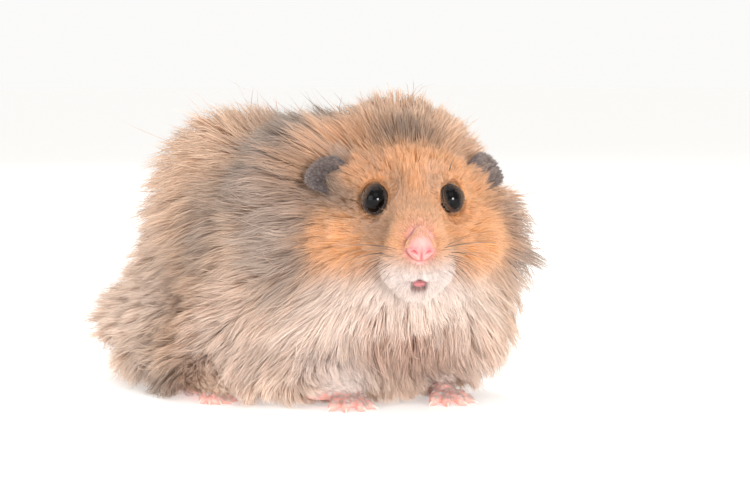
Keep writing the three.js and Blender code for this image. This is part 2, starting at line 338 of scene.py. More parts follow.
bodyCoat = {
    "withers": station((0, -16, 66), 8, 16, 34, (0, 1, 0.05)),
    "back": station((0, 8, 68), 8.5, 17, 32, (0, 1, -0.05)),
    "croup": station((0, 36, 61), 8.5, 20, 38, (0, 1, -0.3), puff=2.5),
    "rump": station((0, 60, 32), 8, 17, 34, (0, 0.6, -1), puff=1.5),
    "rumpLow": station((0, 58, 10), 7, 15, 30, (0, 0.7, -1), puff=3),
    "sideTop": station((21, 0, 55), 8.5, 17, 32, (0.3, 1, -0.5)),
    "hipTop": station((19, 32, 52), 8.5, 19, 38, (0.3, 1, -0.4), puff=2.5),
    "shoulder": station((24, -20, 42), 8, 16, 32, (0.3, 0.9, -0.6), puff=0.5),
    "side": station((30, 5, 32), 8.5, 18, 32, (0.2, 0.8, -0.8)),
    "hip": station((28, 36, 28), 8, 17, 32, (0.1, 0.8, -0.8), puff=2),
    "shoulderLow": station((29, -22, 16), 7, 15, 30, (0.3, 0.35, -1)),
    "sideLow": station((35, 5, 13), 7.5, 16, 30, (0.15, 0.4, -1), puff=1.5),
    "hipLow": station((28, 40, 10), 7, 15, 34, (0.2, 0.5, -1), puff=5),
    "haunchLow": station((21, 53, 8), 7, 15, 40, (0.5, 0.8, -0.8), puff=6),
    "breast": station((4, -44, 14), 5, 12, 28, (0, -0.1, -1)),
    "breastSide": station((17, -42, 20), 6, 13, 30, (0.3, 0, -1)),
    "belly": station((0, 0, 3), 3.5, 7, 24, (0, 1, -0.2)),
    "bellySide": station((18, 8, 3), 4, 8, 24, (0.4, 1, -0.4)),
}
legCoat = station(None, 1.0, 3.4, 20, (0, -0.1, -1))  # the legs' and paws' own nodes give the places
pawCoat = station(None, 0.15, 1.5, 16, (0, -1, -0.25))
coatBlend = {"least": 1.0, "power": 2.2}
paws = [kind + "paw_" + side for kind in ("fore", "hind") for side in ("left", "right")]
legs = [kind + "leg_" + side for kind in ("fore", "hind") for side in ("left", "right")]


def sidesOf(aside):
    return (1, -1) if aside else (1,)


def coatStations():
    rows = []
    for plan in headCoat.values():
        for flip in sidesOf(plan["at"][1]):
            turned = np.array((1, flip, 1))
            place = fromHead(np.array(plan["at"]) * turned)
            rows.append((place, plan, headWay(np.array(plan["lie"]) * turned)))
    for plan in bodyCoat.values():
        for flip in sidesOf(plan["at"][0]):
            turned = np.array((flip, 1, 1))
            place = np.array(plan["at"]) * turned + (bodyMiddle, 0, 0)
            rows.append((place, plan, np.array(plan["lie"]) * turned))
    for names, plan in ((legs, legCoat), (paws, pawCoat)):
        for name in names:
            rows.append((nodeCentre(name), plan, np.array(plan["lie"])))
    return rows


stations = coatStations()
stationAt = np.array([row[0] for row in stations])
stationFacts = np.array([[plan["depth"], plan["length"], plan["lift"], *unit(lie), plan["puff"]]
                         for _, plan, lie in stations])


def coatAt(points):
    # depth, length, lift, lie and puff at each point, from the stations by their nearness
    gap = ((points[:, None, :] - stationAt[None]) ** 2).sum(2)
    weight = 1 / (gap + coatBlend["least"]) ** coatBlend["power"]
    weight /= weight.sum(1, keepdims=True)
    facts = weight @ stationFacts
    return facts[:, 0], facts[:, 1], facts[:, 2], unit(facts[:, 3:6]), facts[:, 6]


# markings, the same for skin and coat: soft patches laid one over another, a few of them painted shade
tints = {
    "orange": (222, 156, 98), "paleOrange": (211, 161, 122), "gold": (200, 142, 98),
    "cream": (236, 213, 198), "white": (219, 202, 195), "lipPale": (222, 206, 200),
    "grey": (160, 144, 135), "darkGrey": (114, 98, 90), "brown": (108, 78, 56), "umber": (144, 106, 78),
    "tan": (210, 172, 142), "beige": (236, 213, 196), "clay": (174, 130, 108),
    "pink": (224, 164, 158), "pinkSkin": (236, 178, 166), "deepPink": (214, 124, 128), "lip": (190, 118, 120),
    # mouth: the mouth's own red, painted dark as shade inside the slit
    "rim": (34, 27, 25), "earGrey": (96, 84, 85), "mouth": (104, 50, 50),
}
edgeWander = {"broad": (0.16, 7, 3), "fine": (0.1, 2.6, 4), "onHead": 0.6}  # share, size and seed


def mark(at, radii, tint, soft=0.6, share=1, single=False):
    # soft: how wide the edge is; share: how far it covers; single: on one side only, not mirrored
    return {"at": at, "radii": radii, "tint": tint, "soft": soft, "share": share, "single": single}


headMarks = {
    "face": mark((-2, 0, -4), (19, 22, 18), "orange", soft=0.35),
    "crownPale": mark((-21, 0, 17), (9, 13, 8), "tan", soft=0.5, share=0.6),
    "crownDark": mark((-10.5, -1, 12.5), (5, 9.5, 5), "brown", share=0.95),
    "foreheadGold": mark((-2, 0, 7), (6, 7, 5), "orange", soft=0.5),
    "browGold": mark((-4, -8, 7), (5, 4, 4), "gold", share=0.7, single=True),
    "browStreak": mark((2, -4, 2), (4, 2.6, 4), "umber", share=0.6, single=True),
    "browPale": mark((1, 5, 3.8), (4.5, 3.6, 4), "paleOrange", share=0.95, single=True),
    "betweenEyes": mark((7, 1, -3), (6, 5, 5), "paleOrange", share=0.65),
    "underEye": mark((3, -10.4, -6), (6, 6, 5), "umber", share=0.85, single=True),
    "padPale": mark((5, 8.5, -10.5), (3.5, 3, 3), "paleOrange", share=0.8, single=True),
    "bridgePink": mark((13, 0, -6.5), (3.5, 3.8, 3.2), "pinkSkin", share=0.35),
    "temple": mark((-4, -13.5, -1.5), (4, 4, 5), "umber", share=0.8, single=True),
    "behindEar": mark((-9.5, -16.5, 0), (6, 6, 6), "brown", share=0.9, single=True),
    "earRoot": mark((-12.5, 13.5, 8.5), (3.4, 3, 3), "grey", share=0.75),
    # painted shade: dark grey where the ear's front meets the head
    "earFrontShade": mark((-10.5, 14.5, 5.5), (2, 2.4, 2), "darkGrey", share=0.8),
    "flash": mark((-8, 21, -9), (7, 6, 12), "umber", soft=0.5, share=0.9),
    "flashGrey": mark((-16, 24, -9), (7, 6, 11), "grey", soft=0.5, share=0.6),
    "bibSide": mark((-7, 17, -22.5), (9, 8.5, 8.5), "cream", share=0.85),
    "cheekGold": mark((-4, 15, -9.5), (8, 6, 6), "orange", soft=0.5),
    "lips": mark((10, 0, -15.8), (7, 9.5, 4.6), "lipPale"),
    "chin": mark((3, 0, -21.8), (12, 21, 8.5), "white", soft=0.5),
    "throatPale": mark((-3, 0, -29), (15, 27, 12), "cream", soft=0.5, share=0.9),
    # mouthInside: the mouth's own red inside the slit, painted dark as shade there
    "mouthInside": mark((11, 0, -16.9), (4, 1.6, 1.1), "mouth", soft=0.3),
}
bodyMarks = {
    "haunchPale": mark((24, 30, 36), (16, 16, 32), "beige", share=0.6),
    "greyTop": mark((8, -16, 58), (12, 10, 9), "darkGrey", share=0.85),
    "witherGold": mark((6, -33, 54), (13, 8, 10), "gold", share=0.85),
    "greyBand": mark((15, -11, 51), (9, 8, 9), "darkGrey", share=0.85),
    "greyLow": mark((20, -2, 44), (10, 8, 11), "darkGrey", share=0.9),
    "goldBand": mark((16, -26, 46), (9, 9, 13), "umber", share=0.85),
    "greyBehind": mark((25, 12, 34), (8, 6, 12), "grey", soft=0.7, share=0.5),
    "sidePale": mark((28, 23, 26), (11, 12, 18), "beige", share=0.6),
    "lowDark": mark((33, 8, 9), (9, 8, 8), "grey", soft=0.7, share=0.75),
    "rumpPale": mark((0, 58, 26), (26, 16, 22), "beige", share=0.55),
    "skirtPale": mark((25, -19, 18), (13, 14, 15), "cream", share=0.85),
    "bellyCream": mark((0, 5, 0), (22, 40, 7), "cream", soft=0.5, share=0.8),
}
lateMarks = {
    "cuffLeft": mark((9.2, -43.5, 8), (6, 7, 8), "white", share=0.85, single=True),
    "cuffRight": mark((-12.8, -34.5, 8), (6, 7, 9), "white", share=0.9, single=True),
    # breast between the forelegs: its own brown fur, painted darker as shade under the chest ruff
    "breastClayAndShade": mark((4, -44, 18), (12, 8, 8), "clay", share=0.9),
    "breastCream": mark((19, -40, 14), (7, 8, 9), "cream", share=0.8),
}


def wander(points, size, seed):
    # a smooth random value from -1 to 1 that changes over about the given size
    picks = np.random.default_rng(seed)
    total = np.zeros(len(points))
    for _ in range(5):
        way = unit(picks.normal(size=3)) * picks.uniform(0.6, 1.5) / size * 2
        total += np.sin(points @ way + picks.uniform(0, fullTurn))
    return total / 3


def patchShare(local, plan, drift):
    reach = within(local, plan["at"], plan["radii"]) + drift
    return (1 - ease(1 - plan["soft"], 1 + plan["soft"], reach)) * plan["share"]


def markingsWithShadeAt(points):
    colour = np.tile(linear(tints["tan"]), (len(points), 1))
    drift = sum(edgeWander[name][0] * wander(points, *edgeWander[name][1:]) for name in ("broad", "fine"))
    body, head = points - (bodyMiddle, 0, 0), toHead(points)
    for plans, local, aside in ((bodyMarks, body, 0), (headMarks, head, 1), (lateMarks, body, 0)):
        for plan in plans.values():
            folded = local.copy()
            if plan["at"][aside] and not plan["single"]:
                folded[:, aside] = np.abs(folded[:, aside])
            share = patchShare(folded, plan, drift * (edgeWander["onHead"] if aside else 1))[:, None]
            colour = colour + (linear(tints[plan["tint"]]) - colour) * share
    return colour


# the eyes' openings; way: where one faces, in the head's axes; wide and tall: its half angles
lidPlan = {
    "left": {"way": (0.988, 0.054, 0.14), "roll": -20, "wide": 26, "tall": 56},
    "right": {"way": (0.988, -0.141, -0.05), "roll": -18, "wide": 38, "tall": 70},
    "profile": (  # degrees past the opening, and how far the lid stands off the eyeball there
        (-5, -0.3), (-1.2, 0.0), (1, 0.08), (3.5, 0.15), (7, 0.16), (12, 0.05), (20, -0.25), (32, -0.9)),
    "corner": 0.1, "reach": 3.5, "rimFade": (4, 12), "rimLeft": 0.5, "segments": 80,
}


def lidFrame(side):
    way = unit(headWay(lidPlan[side]["way"]))
    across = unit(np.cross(upAxis, way))
    roll = math.radians(lidPlan[side]["roll"]) * (1 if side == "right" else -1)
    rise = np.cross(way, across)
    turned = across * math.cos(roll) + rise * math.sin(roll)
    return way, turned, rise * math.cos(roll) - across * math.sin(roll)


def lidEdge(side, around):
    # half the opening, in degrees, in each direction round it
    plan = lidPlan[side]
    corner = 1 + lidPlan["corner"] * np.maximum(np.cos(around), 0) ** 4
    return 1 / np.hypot(np.cos(around) / plan["wide"] / corner, np.sin(around) / plan["tall"])


def pastEdge(side, points):
    # from one eye's centre: the way and distance to each point, its angle off the opening's
    # middle, and how many degrees it lies past the opening's edge
    way, across, rise = lidFrame(side)
    away = points - eyeAt[side]
    gap = np.linalg.norm(away, axis=1)
    flat = away / np.maximum(gap, 1e-6)[:, None]
    tilt = np.degrees(np.arccos(np.clip(flat @ way, -1, 1)))
    return flat, gap, tilt, tilt - lidEdge(side, np.arctan2(flat @ rise, flat @ across))


def pastLid(points):
    # how many degrees a place on the face lies outside the opening of the nearer eye
    past = np.full(len(points), 99.0)
    for side in eyeAt:
        _, gap, _, mine = pastEdge(side, points)
        past = np.where(gap < eyeRadius + lidPlan["reach"], mine, past)
    return past


# skin: one surface from copies of the flesh nodes, drawn in by the coat's depth
# Rounds: how often places, ways and depths are relaxed; besides: the finer faces' reach at the eyes
skinPlan = {
    "grow": 0.22, "voxel": 0.45, "pawRounds": 6, "faceRounds": 22, "bodyRounds": 90, "wayRounds": 12,
    "depthRounds": 20, "lastRounds": 25, "muzzleRounds": 10, "sculptRounds": 4, "pawHold": 0.9,
    "pawMargin": 0.4, "pawTop": 0.1, "lowFade": (5, 9), "faceFront": (3, 7), "bodyFaces": 36000, "kept": 0.2,
    "muzzleAt": (10, 0, -11.5), "muzzleReach": 8.5, "besides": 0.6,
    "mouthAt": (11.5, 0, -15.5), "mouthReach": 5.5,
}
fleshNodes = ["trunk", "neck", "head", *legs, *paws]


def nodeCopy(name):
    # a node's own faces, welded
    part = bmesh.new()
    part.from_mesh(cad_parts[name].data)
    bmesh.ops.remove_doubles(part, verts=part.verts, dist=1e-6)
    return part


def joinedFlesh():
    joined = bmesh.new()
    for name in fleshNodes:
        part = nodeCopy(name)
        part.normal_update()
        for v in part.verts:
            v.co += v.normal * skinPlan["grow"] * mm
        addPart(joined, part)
    return meshOf("flesh", joined)


def useVoxels(passing):
    step = passing.modifiers.new("voxels", "REMESH")
    step.mode = "VOXEL"
    step.voxel_size = skinPlan["voxel"] * mm


def bareShare(points):
    # 1 on the paws, 0 elsewhere
    share = np.zeros(len(points))
    margin = skinPlan["pawMargin"]
    for name in paws:
        low, high = nodeBox(name)
        top = high + (margin, margin, skinPlan["pawTop"])
        share[np.all((points > low - margin) & (points < top), axis=1)] = 1
    return share


def faceShare(points, back, below):
    # 1 on the face, falling to 0 at the given places behind and below it in the head's axes
    head = toHead(points)
    return ease(back, back + 6, head[:, 0]) * ease(below, below + 4, head[:, 2])


def drawIn(mesh):
    points, edges, triangles = pointsOf(mesh), edgesOf(mesh), trianglesOf(mesh)
    plan = skinPlan
    face = faceShare(points, -9, -27)
    bare = relaxed(bareShare(points)[:, None], edges, plan["pawRounds"])[:, 0]
    fine = np.clip(np.maximum(face, bare), 0, 1)[:, None]
    points = relaxed(points, edges, plan["faceRounds"], 0.5 * (1 - bare[:, None] * plan["pawHold"]))
    points = relaxed(points, edges, plan["bodyRounds"], 0.5 * (1 - fine))
    normals = relaxed(pointNormals(points, triangles), edges, plan["wayRounds"])
    depth = coatAt(points)[0] * (1 - bare)
    depth = relaxed(depth[:, None], edges, plan["depthRounds"])
    points = points - unit(normals) * depth
    points = relaxed(points, edges, plan["lastRounds"], 0.5 * (1 - fine))
    points[:, 2] = np.maximum(points[:, 2], 0)
    storePoints(mesh, points)


def refineFace(mesh):
    # two rounds of finer faces: on the muzzle, with a smaller reach at the eyes, then at the mouth
    bm = bmesh.new()
    bm.from_mesh(mesh)
    muzzle, mouth = (Vector(fromHead(skinPlan[name])) for name in ("muzzleAt", "mouthAt"))
    eyes = [Vector(centre) for centre in eyeAt.values()]
    for centres, reach in (((muzzle, *eyes), skinPlan["muzzleReach"]), ((mouth,), skinPlan["mouthReach"])):
        reaches = [reach] + [reach * skinPlan["besides"]] * (len(centres) - 1)
        near = {v for v in bm.verts if any((v.co / mm - centre).length < length
                                           for centre, length in zip(centres, reaches))}
        cuts = [e for e in bm.edges if e.verts[0] in near and e.verts[1] in near]
        bmesh.ops.subdivide_edges(bm, edges=cuts, cuts=1, use_grid_fill=True, smooth=0.0)
    bmesh.ops.triangulate(bm, faces=bm.faces)
    bm.to_mesh(mesh)
    bm.free()


# the mouth, in the head's axes; line: the crease that runs out from it on both sides; groove: the
# cleft above it; pad: the swell beside the cleft
mouthPlan = {
    "middle": -16.5, "halfWidth": 1.3, "topWidth": 0.25, "height": 1.7, "deep": 1.8, "front": (5, 9),
    "grooveTop": -14.0, "grooveFade": 0.6, "grooveDeep": 0.45, "grooveWidth": 0.34,
    "padAt": (2.6, -15.4), "padSize": (2.0, 1.6), "padSwell": 0.5,
    "lineDrop": 0.3, "lineBend": 0.05, "lineWidth": 0.42, "lineEnd": (3.0, 5.2), "lineDeep": 0.7,
}
# the skin round the eyeballs; free: how many degrees past the opening it may stand as it does
socketPlan = {
    "sunk": 0.5, "hem": (-5, 3), "least": 0.22, "highest": 0.15, "slope": 0.05, "free": 45,
    "reach": 3.2, "behind": 120,
}


def sculptMouth(points, normals):
    plan = mouthPlan
    x, y, z = toHead(points).T
    aside = np.abs(y)
    top = plan["middle"] + plan["height"] / 2
    floor = top - plan["height"]
    down = np.clip((top - z) / plan["height"], 0, 1)
    groove = np.exp(-(y / plan["grooveWidth"]) ** 2) * ease(top - 0.3, top + 0.4, z) * (
        1 - ease(plan["grooveTop"] - plan["grooveFade"], plan["grooveTop"] + plan["grooveFade"], z))
    pads = np.exp(-((aside - plan["padAt"][0]) / plan["padSize"][0]) ** 2
                  - ((z - plan["padAt"][1]) / plan["padSize"][1]) ** 2)
    opening = (1 - ease(0.55, 1.25, aside / (plan["topWidth"] + plan["halfWidth"] * down))) * ease(
        top + 0.15, top - 0.35, z) * ease(floor - 0.25, floor + 0.35, z)
    crease = plan["middle"] - plan["lineDrop"] + plan["lineBend"] * aside ** 1.4
    line = np.exp(-((z - crease) / plan["lineWidth"]) ** 2) * (1 - ease(*plan["lineEnd"], aside))
    inward = groove * plan["grooveDeep"] + opening * plan["deep"] + line * plan["lineDeep"] * (1 - opening)
    front = ease(*plan["front"], x)
    return points + normals * (front * (pads * plan["padSwell"] - inward))[:, None]


def sculptSocket(points, side):
    # inside the opening the skin sinks into the eyeball; outside it the socket slopes up gently
    plan = socketPlan
    flat, gap, tilt, past = pastEdge(side, points)
    lowest = eyeRadius + plan["least"]
    highest = np.maximum(eyeRadius + plan["highest"] + plan["slope"] * np.maximum(past, 0), lowest + 0.01)
    sloped = np.clip(gap, lowest, np.where(past < plan["free"], highest, 99))
    wanted = sloped + (eyeRadius - plan["sunk"] - sloped) * (1 - ease(*plan["hem"], past))
    near = (gap < eyeRadius + plan["reach"]) & (tilt < plan["behind"])
    return eyeAt[side] + flat * np.where(near, wanted, gap)[:, None]


def sculptFace(points, normals):
    points = sculptMouth(points, normals)
    for side in eyeAt:
        points = sculptSocket(points, side)
    return points


def coarsenBody(mesh):
    points = pointsOf(mesh)
    low = 1 - ease(*skinPlan["lowFade"], points[:, 2])
    paw = low * (bareShare(points * (1, 1, 0.8)) > 0)
    fine = np.clip(np.maximum(faceShare(points, -10, -28), paw), 0, 1)
    fineFaces = (fine[trianglesOf(mesh)].min(1) > skinPlan["kept"]).sum()

    def useDecimate(passing):
        group = passing.vertex_groups.new(name="body")
        for level in np.unique(np.round(1 - fine, 1)):
            chosen = np.nonzero(np.round(1 - fine, 1) == level)[0].tolist()
            group.add(chosen, float(level), "REPLACE")
        step = passing.modifiers.new("coarser", "DECIMATE")
        step.ratio = (fineFaces + skinPlan["bodyFaces"]) / len(mesh.polygons)
        step.vertex_group = "body"
    return evaluated(mesh, useDecimate)


def makeSkinSurface():
    mesh = evaluated(joinedFlesh(), useVoxels)
    drawIn(mesh)
    refineFace(mesh)
    points, triangles = pointsOf(mesh), trianglesOf(mesh)
    edges = edgesOf(mesh)
    face = ease(*skinPlan["faceFront"], toHead(points)[:, 0])[:, None]
    points = relaxed(points, edges, skinPlan["muzzleRounds"], 0.5 * face)
    normals = unit(relaxed(pointNormals(points, triangles), edges, skinPlan["sculptRounds"]))
    storePoints(mesh, sculptFace(points, normals))
    return coarsenBody(mesh)


skinMesh = makeSkinSurface()
print("skin surface:", len(skinMesh.polygons), "faces")


# nose, lids, ears and tail, joined into the skin
nosePlan = {
    "radii": (2.7, 3.1, 3.5), "narrowTop": 0.5, "nostrilAt": (1.55, -1.35), "nostrilSize": (0.78, 0.26),
    "nostrilTurn": 24, "nostrilDeep": 0.95, "rimSwell": 0.28, "grooveDeep": 0.3, "grooveWidth": 0.2,
    "detail": 6, "topFlat": 0.18, "nostrilBow": 0.35, "rimAt": 2.1, "rimWidth": 0.9,
}


def addNose(joined):
    plan = nosePlan
    bm = bmesh.new()
    bmesh.ops.create_icosphere(bm, subdivisions=plan["detail"], radius=1)
    ball = np.array([v.co for v in bm.verts])
    x, y, z = ball.T
    narrow = 1 - (1 - plan["narrowTop"]) * ease(-0.35, 0.9, z)
    shallow = 1 - plan["topFlat"] * ease(0, 1, z)
    place = np.stack((x * shallow, y * narrow, z), 1) * plan["radii"]
    turn = math.radians(plan["nostrilTurn"])
    side = np.abs(place[:, 1]) - plan["nostrilAt"][0]
    rise = place[:, 2] - plan["nostrilAt"][1]
    along = side * math.cos(turn) + rise * math.sin(turn)
    across = -side * math.sin(turn) + rise * math.cos(turn) + plan["nostrilBow"] * along ** 2
    reach = np.hypot(along / plan["nostrilSize"][0], across / plan["nostrilSize"][1])
    front = ease(0.1, 0.5, x)
    dent = (1 - ease(0.55, 1.25, reach)) * plan["nostrilDeep"]
    rim = np.exp(-((reach - plan["rimAt"]) / plan["rimWidth"]) ** 2) * plan["rimSwell"]
    groove = np.exp(-(place[:, 1] / plan["grooveWidth"]) ** 2) * plan["grooveDeep"]
    groove *= 1 - ease(-1.2, 0.4, place[:, 2])
    place += unit(ball) * (front * (rim - dent - groove))[:, None]
    place = noseAt + place @ headAxes
    for v, p in zip(bm.verts, place):
        v.co = Vector(p * mm)
    return addPart(joined, bm)


def addLid(joined, side):
    profile = lidPlan["profile"]
    bm = bmesh.new()
    bmesh.ops.create_grid(bm, x_segments=lidPlan["segments"], y_segments=len(profile) - 1, size=1)
    way, across, rise = lidFrame(side)
    for v in bm.verts:
        step, swell = profile[round((v.co.y + 1) / 2 * (len(profile) - 1))]
        around = math.pi * v.co.x
        tilt = math.radians(lidEdge(side, around) + step)
        flat = across * math.cos(around) + rise * math.sin(around)
        spot = eyeAt[side] + (way * math.cos(tilt) + flat * math.sin(tilt)) * (eyeRadius + swell)
        v.co = Vector(spot * mm)
    bmesh.ops.remove_doubles(bm, verts=bm.verts, dist=1e-6)
    bmesh.ops.subdivide_edges(bm, edges=bm.edges, cuts=1, use_grid_fill=True, smooth=1.0)
    bm.normal_update()
    outward = sum(f.normal.dot(f.calc_center_median() - Vector(eyeAt[side] * mm)) for f in bm.faces)
    if outward < 0:
        bmesh.ops.reverse_faces(bm, faces=bm.faces)
    return addPart(joined, bm)


# reach: how far out a part is drawn in; sink: how far under the skin; size: of the part seen beyond
# the hair; shift: in the head's axes
rootPlan = {
    "ear_left": {"reach": 2.5, "sink": 0.8, "size": 0.78, "shift": (0, 1.3, -2.2)},
    "ear_right": {"reach": 2.5, "sink": 0.8, "size": 0.78, "shift": (0.8, 0.6, -0.5)},
    "tail": {"reach": 5.0, "sink": 1.5, "size": 0.7, "shift": (0, 0, 0)},
}


def rootedPart(joined, name, tree):
    # a finer copy of a node whose near end is drawn in to the skin
    plan = rootPlan[name]
    reach, sink = plan["reach"], plan["sink"]
    rough = meshOf(name + "Copy", nodeCopy(name))

    def useSmooth(passing):
        step = passing.modifiers.new("finer", "SUBSURF")
        step.levels = step.render_levels = 2
    fine = evaluated(rough, useSmooth)
    points = pointsOf(fine)
    gap = np.array([tree.find_nearest(p)[3] for p in points.tolist()])
    foot = points[gap < gap.min() + 1].mean(0)
    points = foot + (points - foot) * plan["size"] + headWay(plan["shift"])
    found = [tree.find_nearest(p) for p in points.tolist()]
    near = np.array([f[0] for f in found])
    gap = np.linalg.norm(points - near, axis=1)
    share = 1 - ease(gap.min(), gap.min() + reach, gap)
    points += (near - points) * (share * (gap + sink) / np.maximum(gap, 0.1))[:, None]
    storePoints(fine, points)
    joined.from_mesh(fine)
    return len(fine.vertices)


def finishSkin(mesh):
    points = pointsOf(mesh)
    tree = BVHTree.FromPolygons(points.tolist(), trianglesOf(mesh).tolist())
    joined = bmesh.new()
    joined.from_mesh(mesh)
    spans = [("body", len(mesh.vertices)), ("nose", addNose(joined))]
    spans += [("lid", addLid(joined, side)) for side in eyeAt]
    spans += [("ear", rootedPart(joined, "ear_" + side, tree)) for side in eyeAt]
    spans.append(("tail", rootedPart(joined, "tail", tree)))
    kinds = np.repeat([name for name, _ in spans], [count for _, count in spans])
    return meshOf("skin", joined), kinds


skinWhole, skinKinds = finishSkin(skinMesh)
print("nose, lids, ears and tail joined:", len(skinWhole.polygons), "faces")


# dim: how far the coat's markings are darkened on the skin, as painted shade under the coat
paintPlan = {
    "dim": 0.8, "pawTop": (4.0, 6.5), "noseShare": 0.9, "noseRing": (4.6, 4.2, 4.4), "noseFade": (0.75, 1.5),
    "wingAt": (1.3, -1.1), "wingSize": (1.3, 1.2), "wingShare": 0.85, "slitWidth": 0.5,
    "slitTop": (-0.8, -1.8),
    "lipAt": (10.4, 0, -17.2), "lipSize": (3.2, 1.7, 1.0), "lipFade": (0.8, 1.25),
    "insideAt": (10.2, 0, -16.0), "insideSize": (2.6, 1.1, 1.0), "insideFade": (0.8, 1.2), "earBare": 0.6,
}


def noseTones(head, kinds):
    # the nose's own pink, and the deeper pink of its wings and the slit under it
    plan = paintPlan
    centre = toHead(noseAt)
    onBody = (kinds == "body") * (1 - ease(*plan["noseFade"], within(head, centre, plan["noseRing"])))
    _, y, z = ((head - centre) * (kinds == "nose")[:, None]).T
    wings = np.exp(-((np.abs(y) - plan["wingAt"][0]) / plan["wingSize"][0]) ** 2
                   - ((z - plan["wingAt"][1]) / plan["wingSize"][1]) ** 2)
    wings = np.maximum(wings, np.exp(-(y / plan["slitWidth"]) ** 2) * ease(*plan["slitTop"], z))
    return np.maximum(kinds == "nose", onBody), wings * (kinds == "nose")


def paintSkin(mesh, kinds):
    plan = paintPlan
    points = pointsOf(mesh)
    head = toHead(points)
    # the skin takes the coat's markings, dimmed as painted shade under the hair
    colour = markingsWithShadeAt(points) * plan["dim"]
    body = kinds == "body"
    paw = bareShare(points) * body * (1 - ease(*plan["pawTop"], points[:, 2]))
    nose, wings = noseTones(head, kinds)
    lid = (kinds == "lid") * (1 - lidPlan["rimLeft"] * ease(*lidPlan["rimFade"], pastLid(points)))
    lip = body * (1 - ease(*plan["lipFade"], within(head, plan["lipAt"], plan["lipSize"])))
    # inside the mouth: its own red, painted dark as shade in the slit
    inside = body * (1 - ease(*plan["insideFade"], within(head, plan["insideAt"], plan["insideSize"])))
    layers = (
        (paw, "pinkSkin"), (nose * plan["noseShare"], "pink"), (wings * plan["wingShare"], "deepPink"),
        (kinds == "tail", "pinkSkin"), (kinds == "ear", "earGrey"), (lid, "rim"), (lip, "lip"),
        (inside, "mouth"),
    )
    for share, tint in layers:
        colour = colour + (linear(tints[tint]) - colour) * np.asarray(share, float)[:, None]
    colourLayer(mesh, "marking", colour)
    ear = (kinds == "ear") * plan["earBare"]
    bare = np.maximum.reduce([paw, np.asarray(nose, float), (kinds == "tail") * 1.0, ear])
    valueLayer(mesh, "bare", bare)


def newGroup(name, inputs, outputs):
    group = bpy.data.node_groups.new(name, "ShaderNodeTree")
    for label, kind in inputs:
        group.interface.new_socket(label, in_out="INPUT", socket_type="NodeSocket" + kind)
    for label, kind in outputs:
        group.interface.new_socket(label, in_out="OUTPUT", socket_type="NodeSocket" + kind)
    return group, group.nodes.new("NodeGroupInput"), group.nodes.new("NodeGroupOutput")


def mixColour(tree, blend, share, first, second):
    node = tree.nodes.new("ShaderNodeMix")
    node.data_type = "RGBA"
    node.blend_type = blend
    for socket, value in ((node.inputs[0], share), (node.inputs[6], first), (node.inputs[7], second)):
        if isinstance(value, bpy.types.NodeSocket):
            tree.links.new(value, socket)
        else:
            socket.default_value = value
    return node.outputs[2]


def scaled(tree, value, low, high, fromLow=0.0, fromHigh=1.0):
    node = tree.nodes.new("ShaderNodeMapRange")
    setInputs(node, {"From Min": fromLow, "From Max": fromHigh, "To Min": low, "To Max": high})
    tree.links.new(value, node.inputs["Value"])
    return node.outputs["Result"]


def noiseAt(tree, vector, scale, detail=3.0):
    node = tree.nodes.new("ShaderNodeTexNoise")
    setInputs(node, {"Scale": scale, "Detail": detail})
    tree.links.new(vector, node.inputs["Vector"])
    return node.outputs["Fac"]


def hairToneGroup():
    # darker at the root, partly the hair's own darker base and partly painted shade deep in the coat, and
    # paler to the tip, with each hair a little different from the next
    group, start, end = newGroup(
        "hairTone", (("Marking", "Color"), ("Along", "Float"), ("Tone", "Float")), (("Color", "Color"),))
    dark = mixColour(group, "MULTIPLY", 1.0, start.outputs["Marking"], (0.74, 0.68, 0.65, 1))
    pale = mixColour(group, "MIX", 0.3, start.outputs["Marking"], (0.95, 0.88, 0.8, 1))
    rise = scaled(group, start.outputs["Along"], 0, 1, 0.0, 0.55)
    body = mixColour(group, "MIX", rise, dark, start.outputs["Marking"])
    tip = scaled(group, start.outputs["Along"], 0, 0.75, 0.45, 1.0)
    body = mixColour(group, "MIX", tip, body, pale)
    shade = scaled(group, start.outputs["Tone"], 0.66, 1.26)
    grey = group.nodes.new("ShaderNodeCombineColor")
    for k in range(3):
        group.links.new(shade, grey.inputs[k])
    toned = mixColour(group, "MULTIPLY", 1.0, body, grey.outputs["Color"])
    group.links.new(toned, end.inputs["Color"])
    return group


def attributeNode(tree, name):
    node = tree.nodes.new("ShaderNodeAttribute")
    node.attribute_name = name
    return node


def newMaterial(name):
    material = bpy.data.materials.new(name)
    material.use_nodes = True
    return material, material.node_tree, material.node_tree.nodes["Principled BSDF"]


def setBump(tree, shader, height, strength, distance):
    bump = tree.nodes.new("ShaderNodeBump")
    setInputs(bump, {"Strength": strength, "Distance": distance * mm})
    tree.links.new(height, bump.inputs["Height"])
    tree.links.new(bump.outputs["Normal"], shader.inputs["Normal"])


coatGloss = {
    "Roughness": 0.62, "Specular IOR Level": 0.22, "Sheen Weight": 0.25, "Sheen Roughness": 0.5,
}
skinGloss = {
    "Specular IOR Level": 0.35, "Subsurface Weight": 0.15, "Subsurface Radius": (1.0, 0.4, 0.25),
    "Subsurface Scale": 0.8 * mm,
}
eyeGloss = {"Roughness": 0.06, "Specular IOR Level": 0.2}
hornGloss = {"Roughness": 0.38}


def coatMaterial(tone):
    material, tree, shader = newMaterial("coat")
    mix = tree.nodes.new("ShaderNodeGroup")
    mix.node_tree = tone
    for name, output in (("marking", "Color"), ("along", "Fac"), ("tone", "Fac")):
        tree.links.new(attributeNode(tree, name).outputs[output], mix.inputs[name.capitalize()])
    tree.links.new(mix.outputs["Color"], shader.inputs["Base Color"])
    setInputs(shader, coatGloss)
    return material


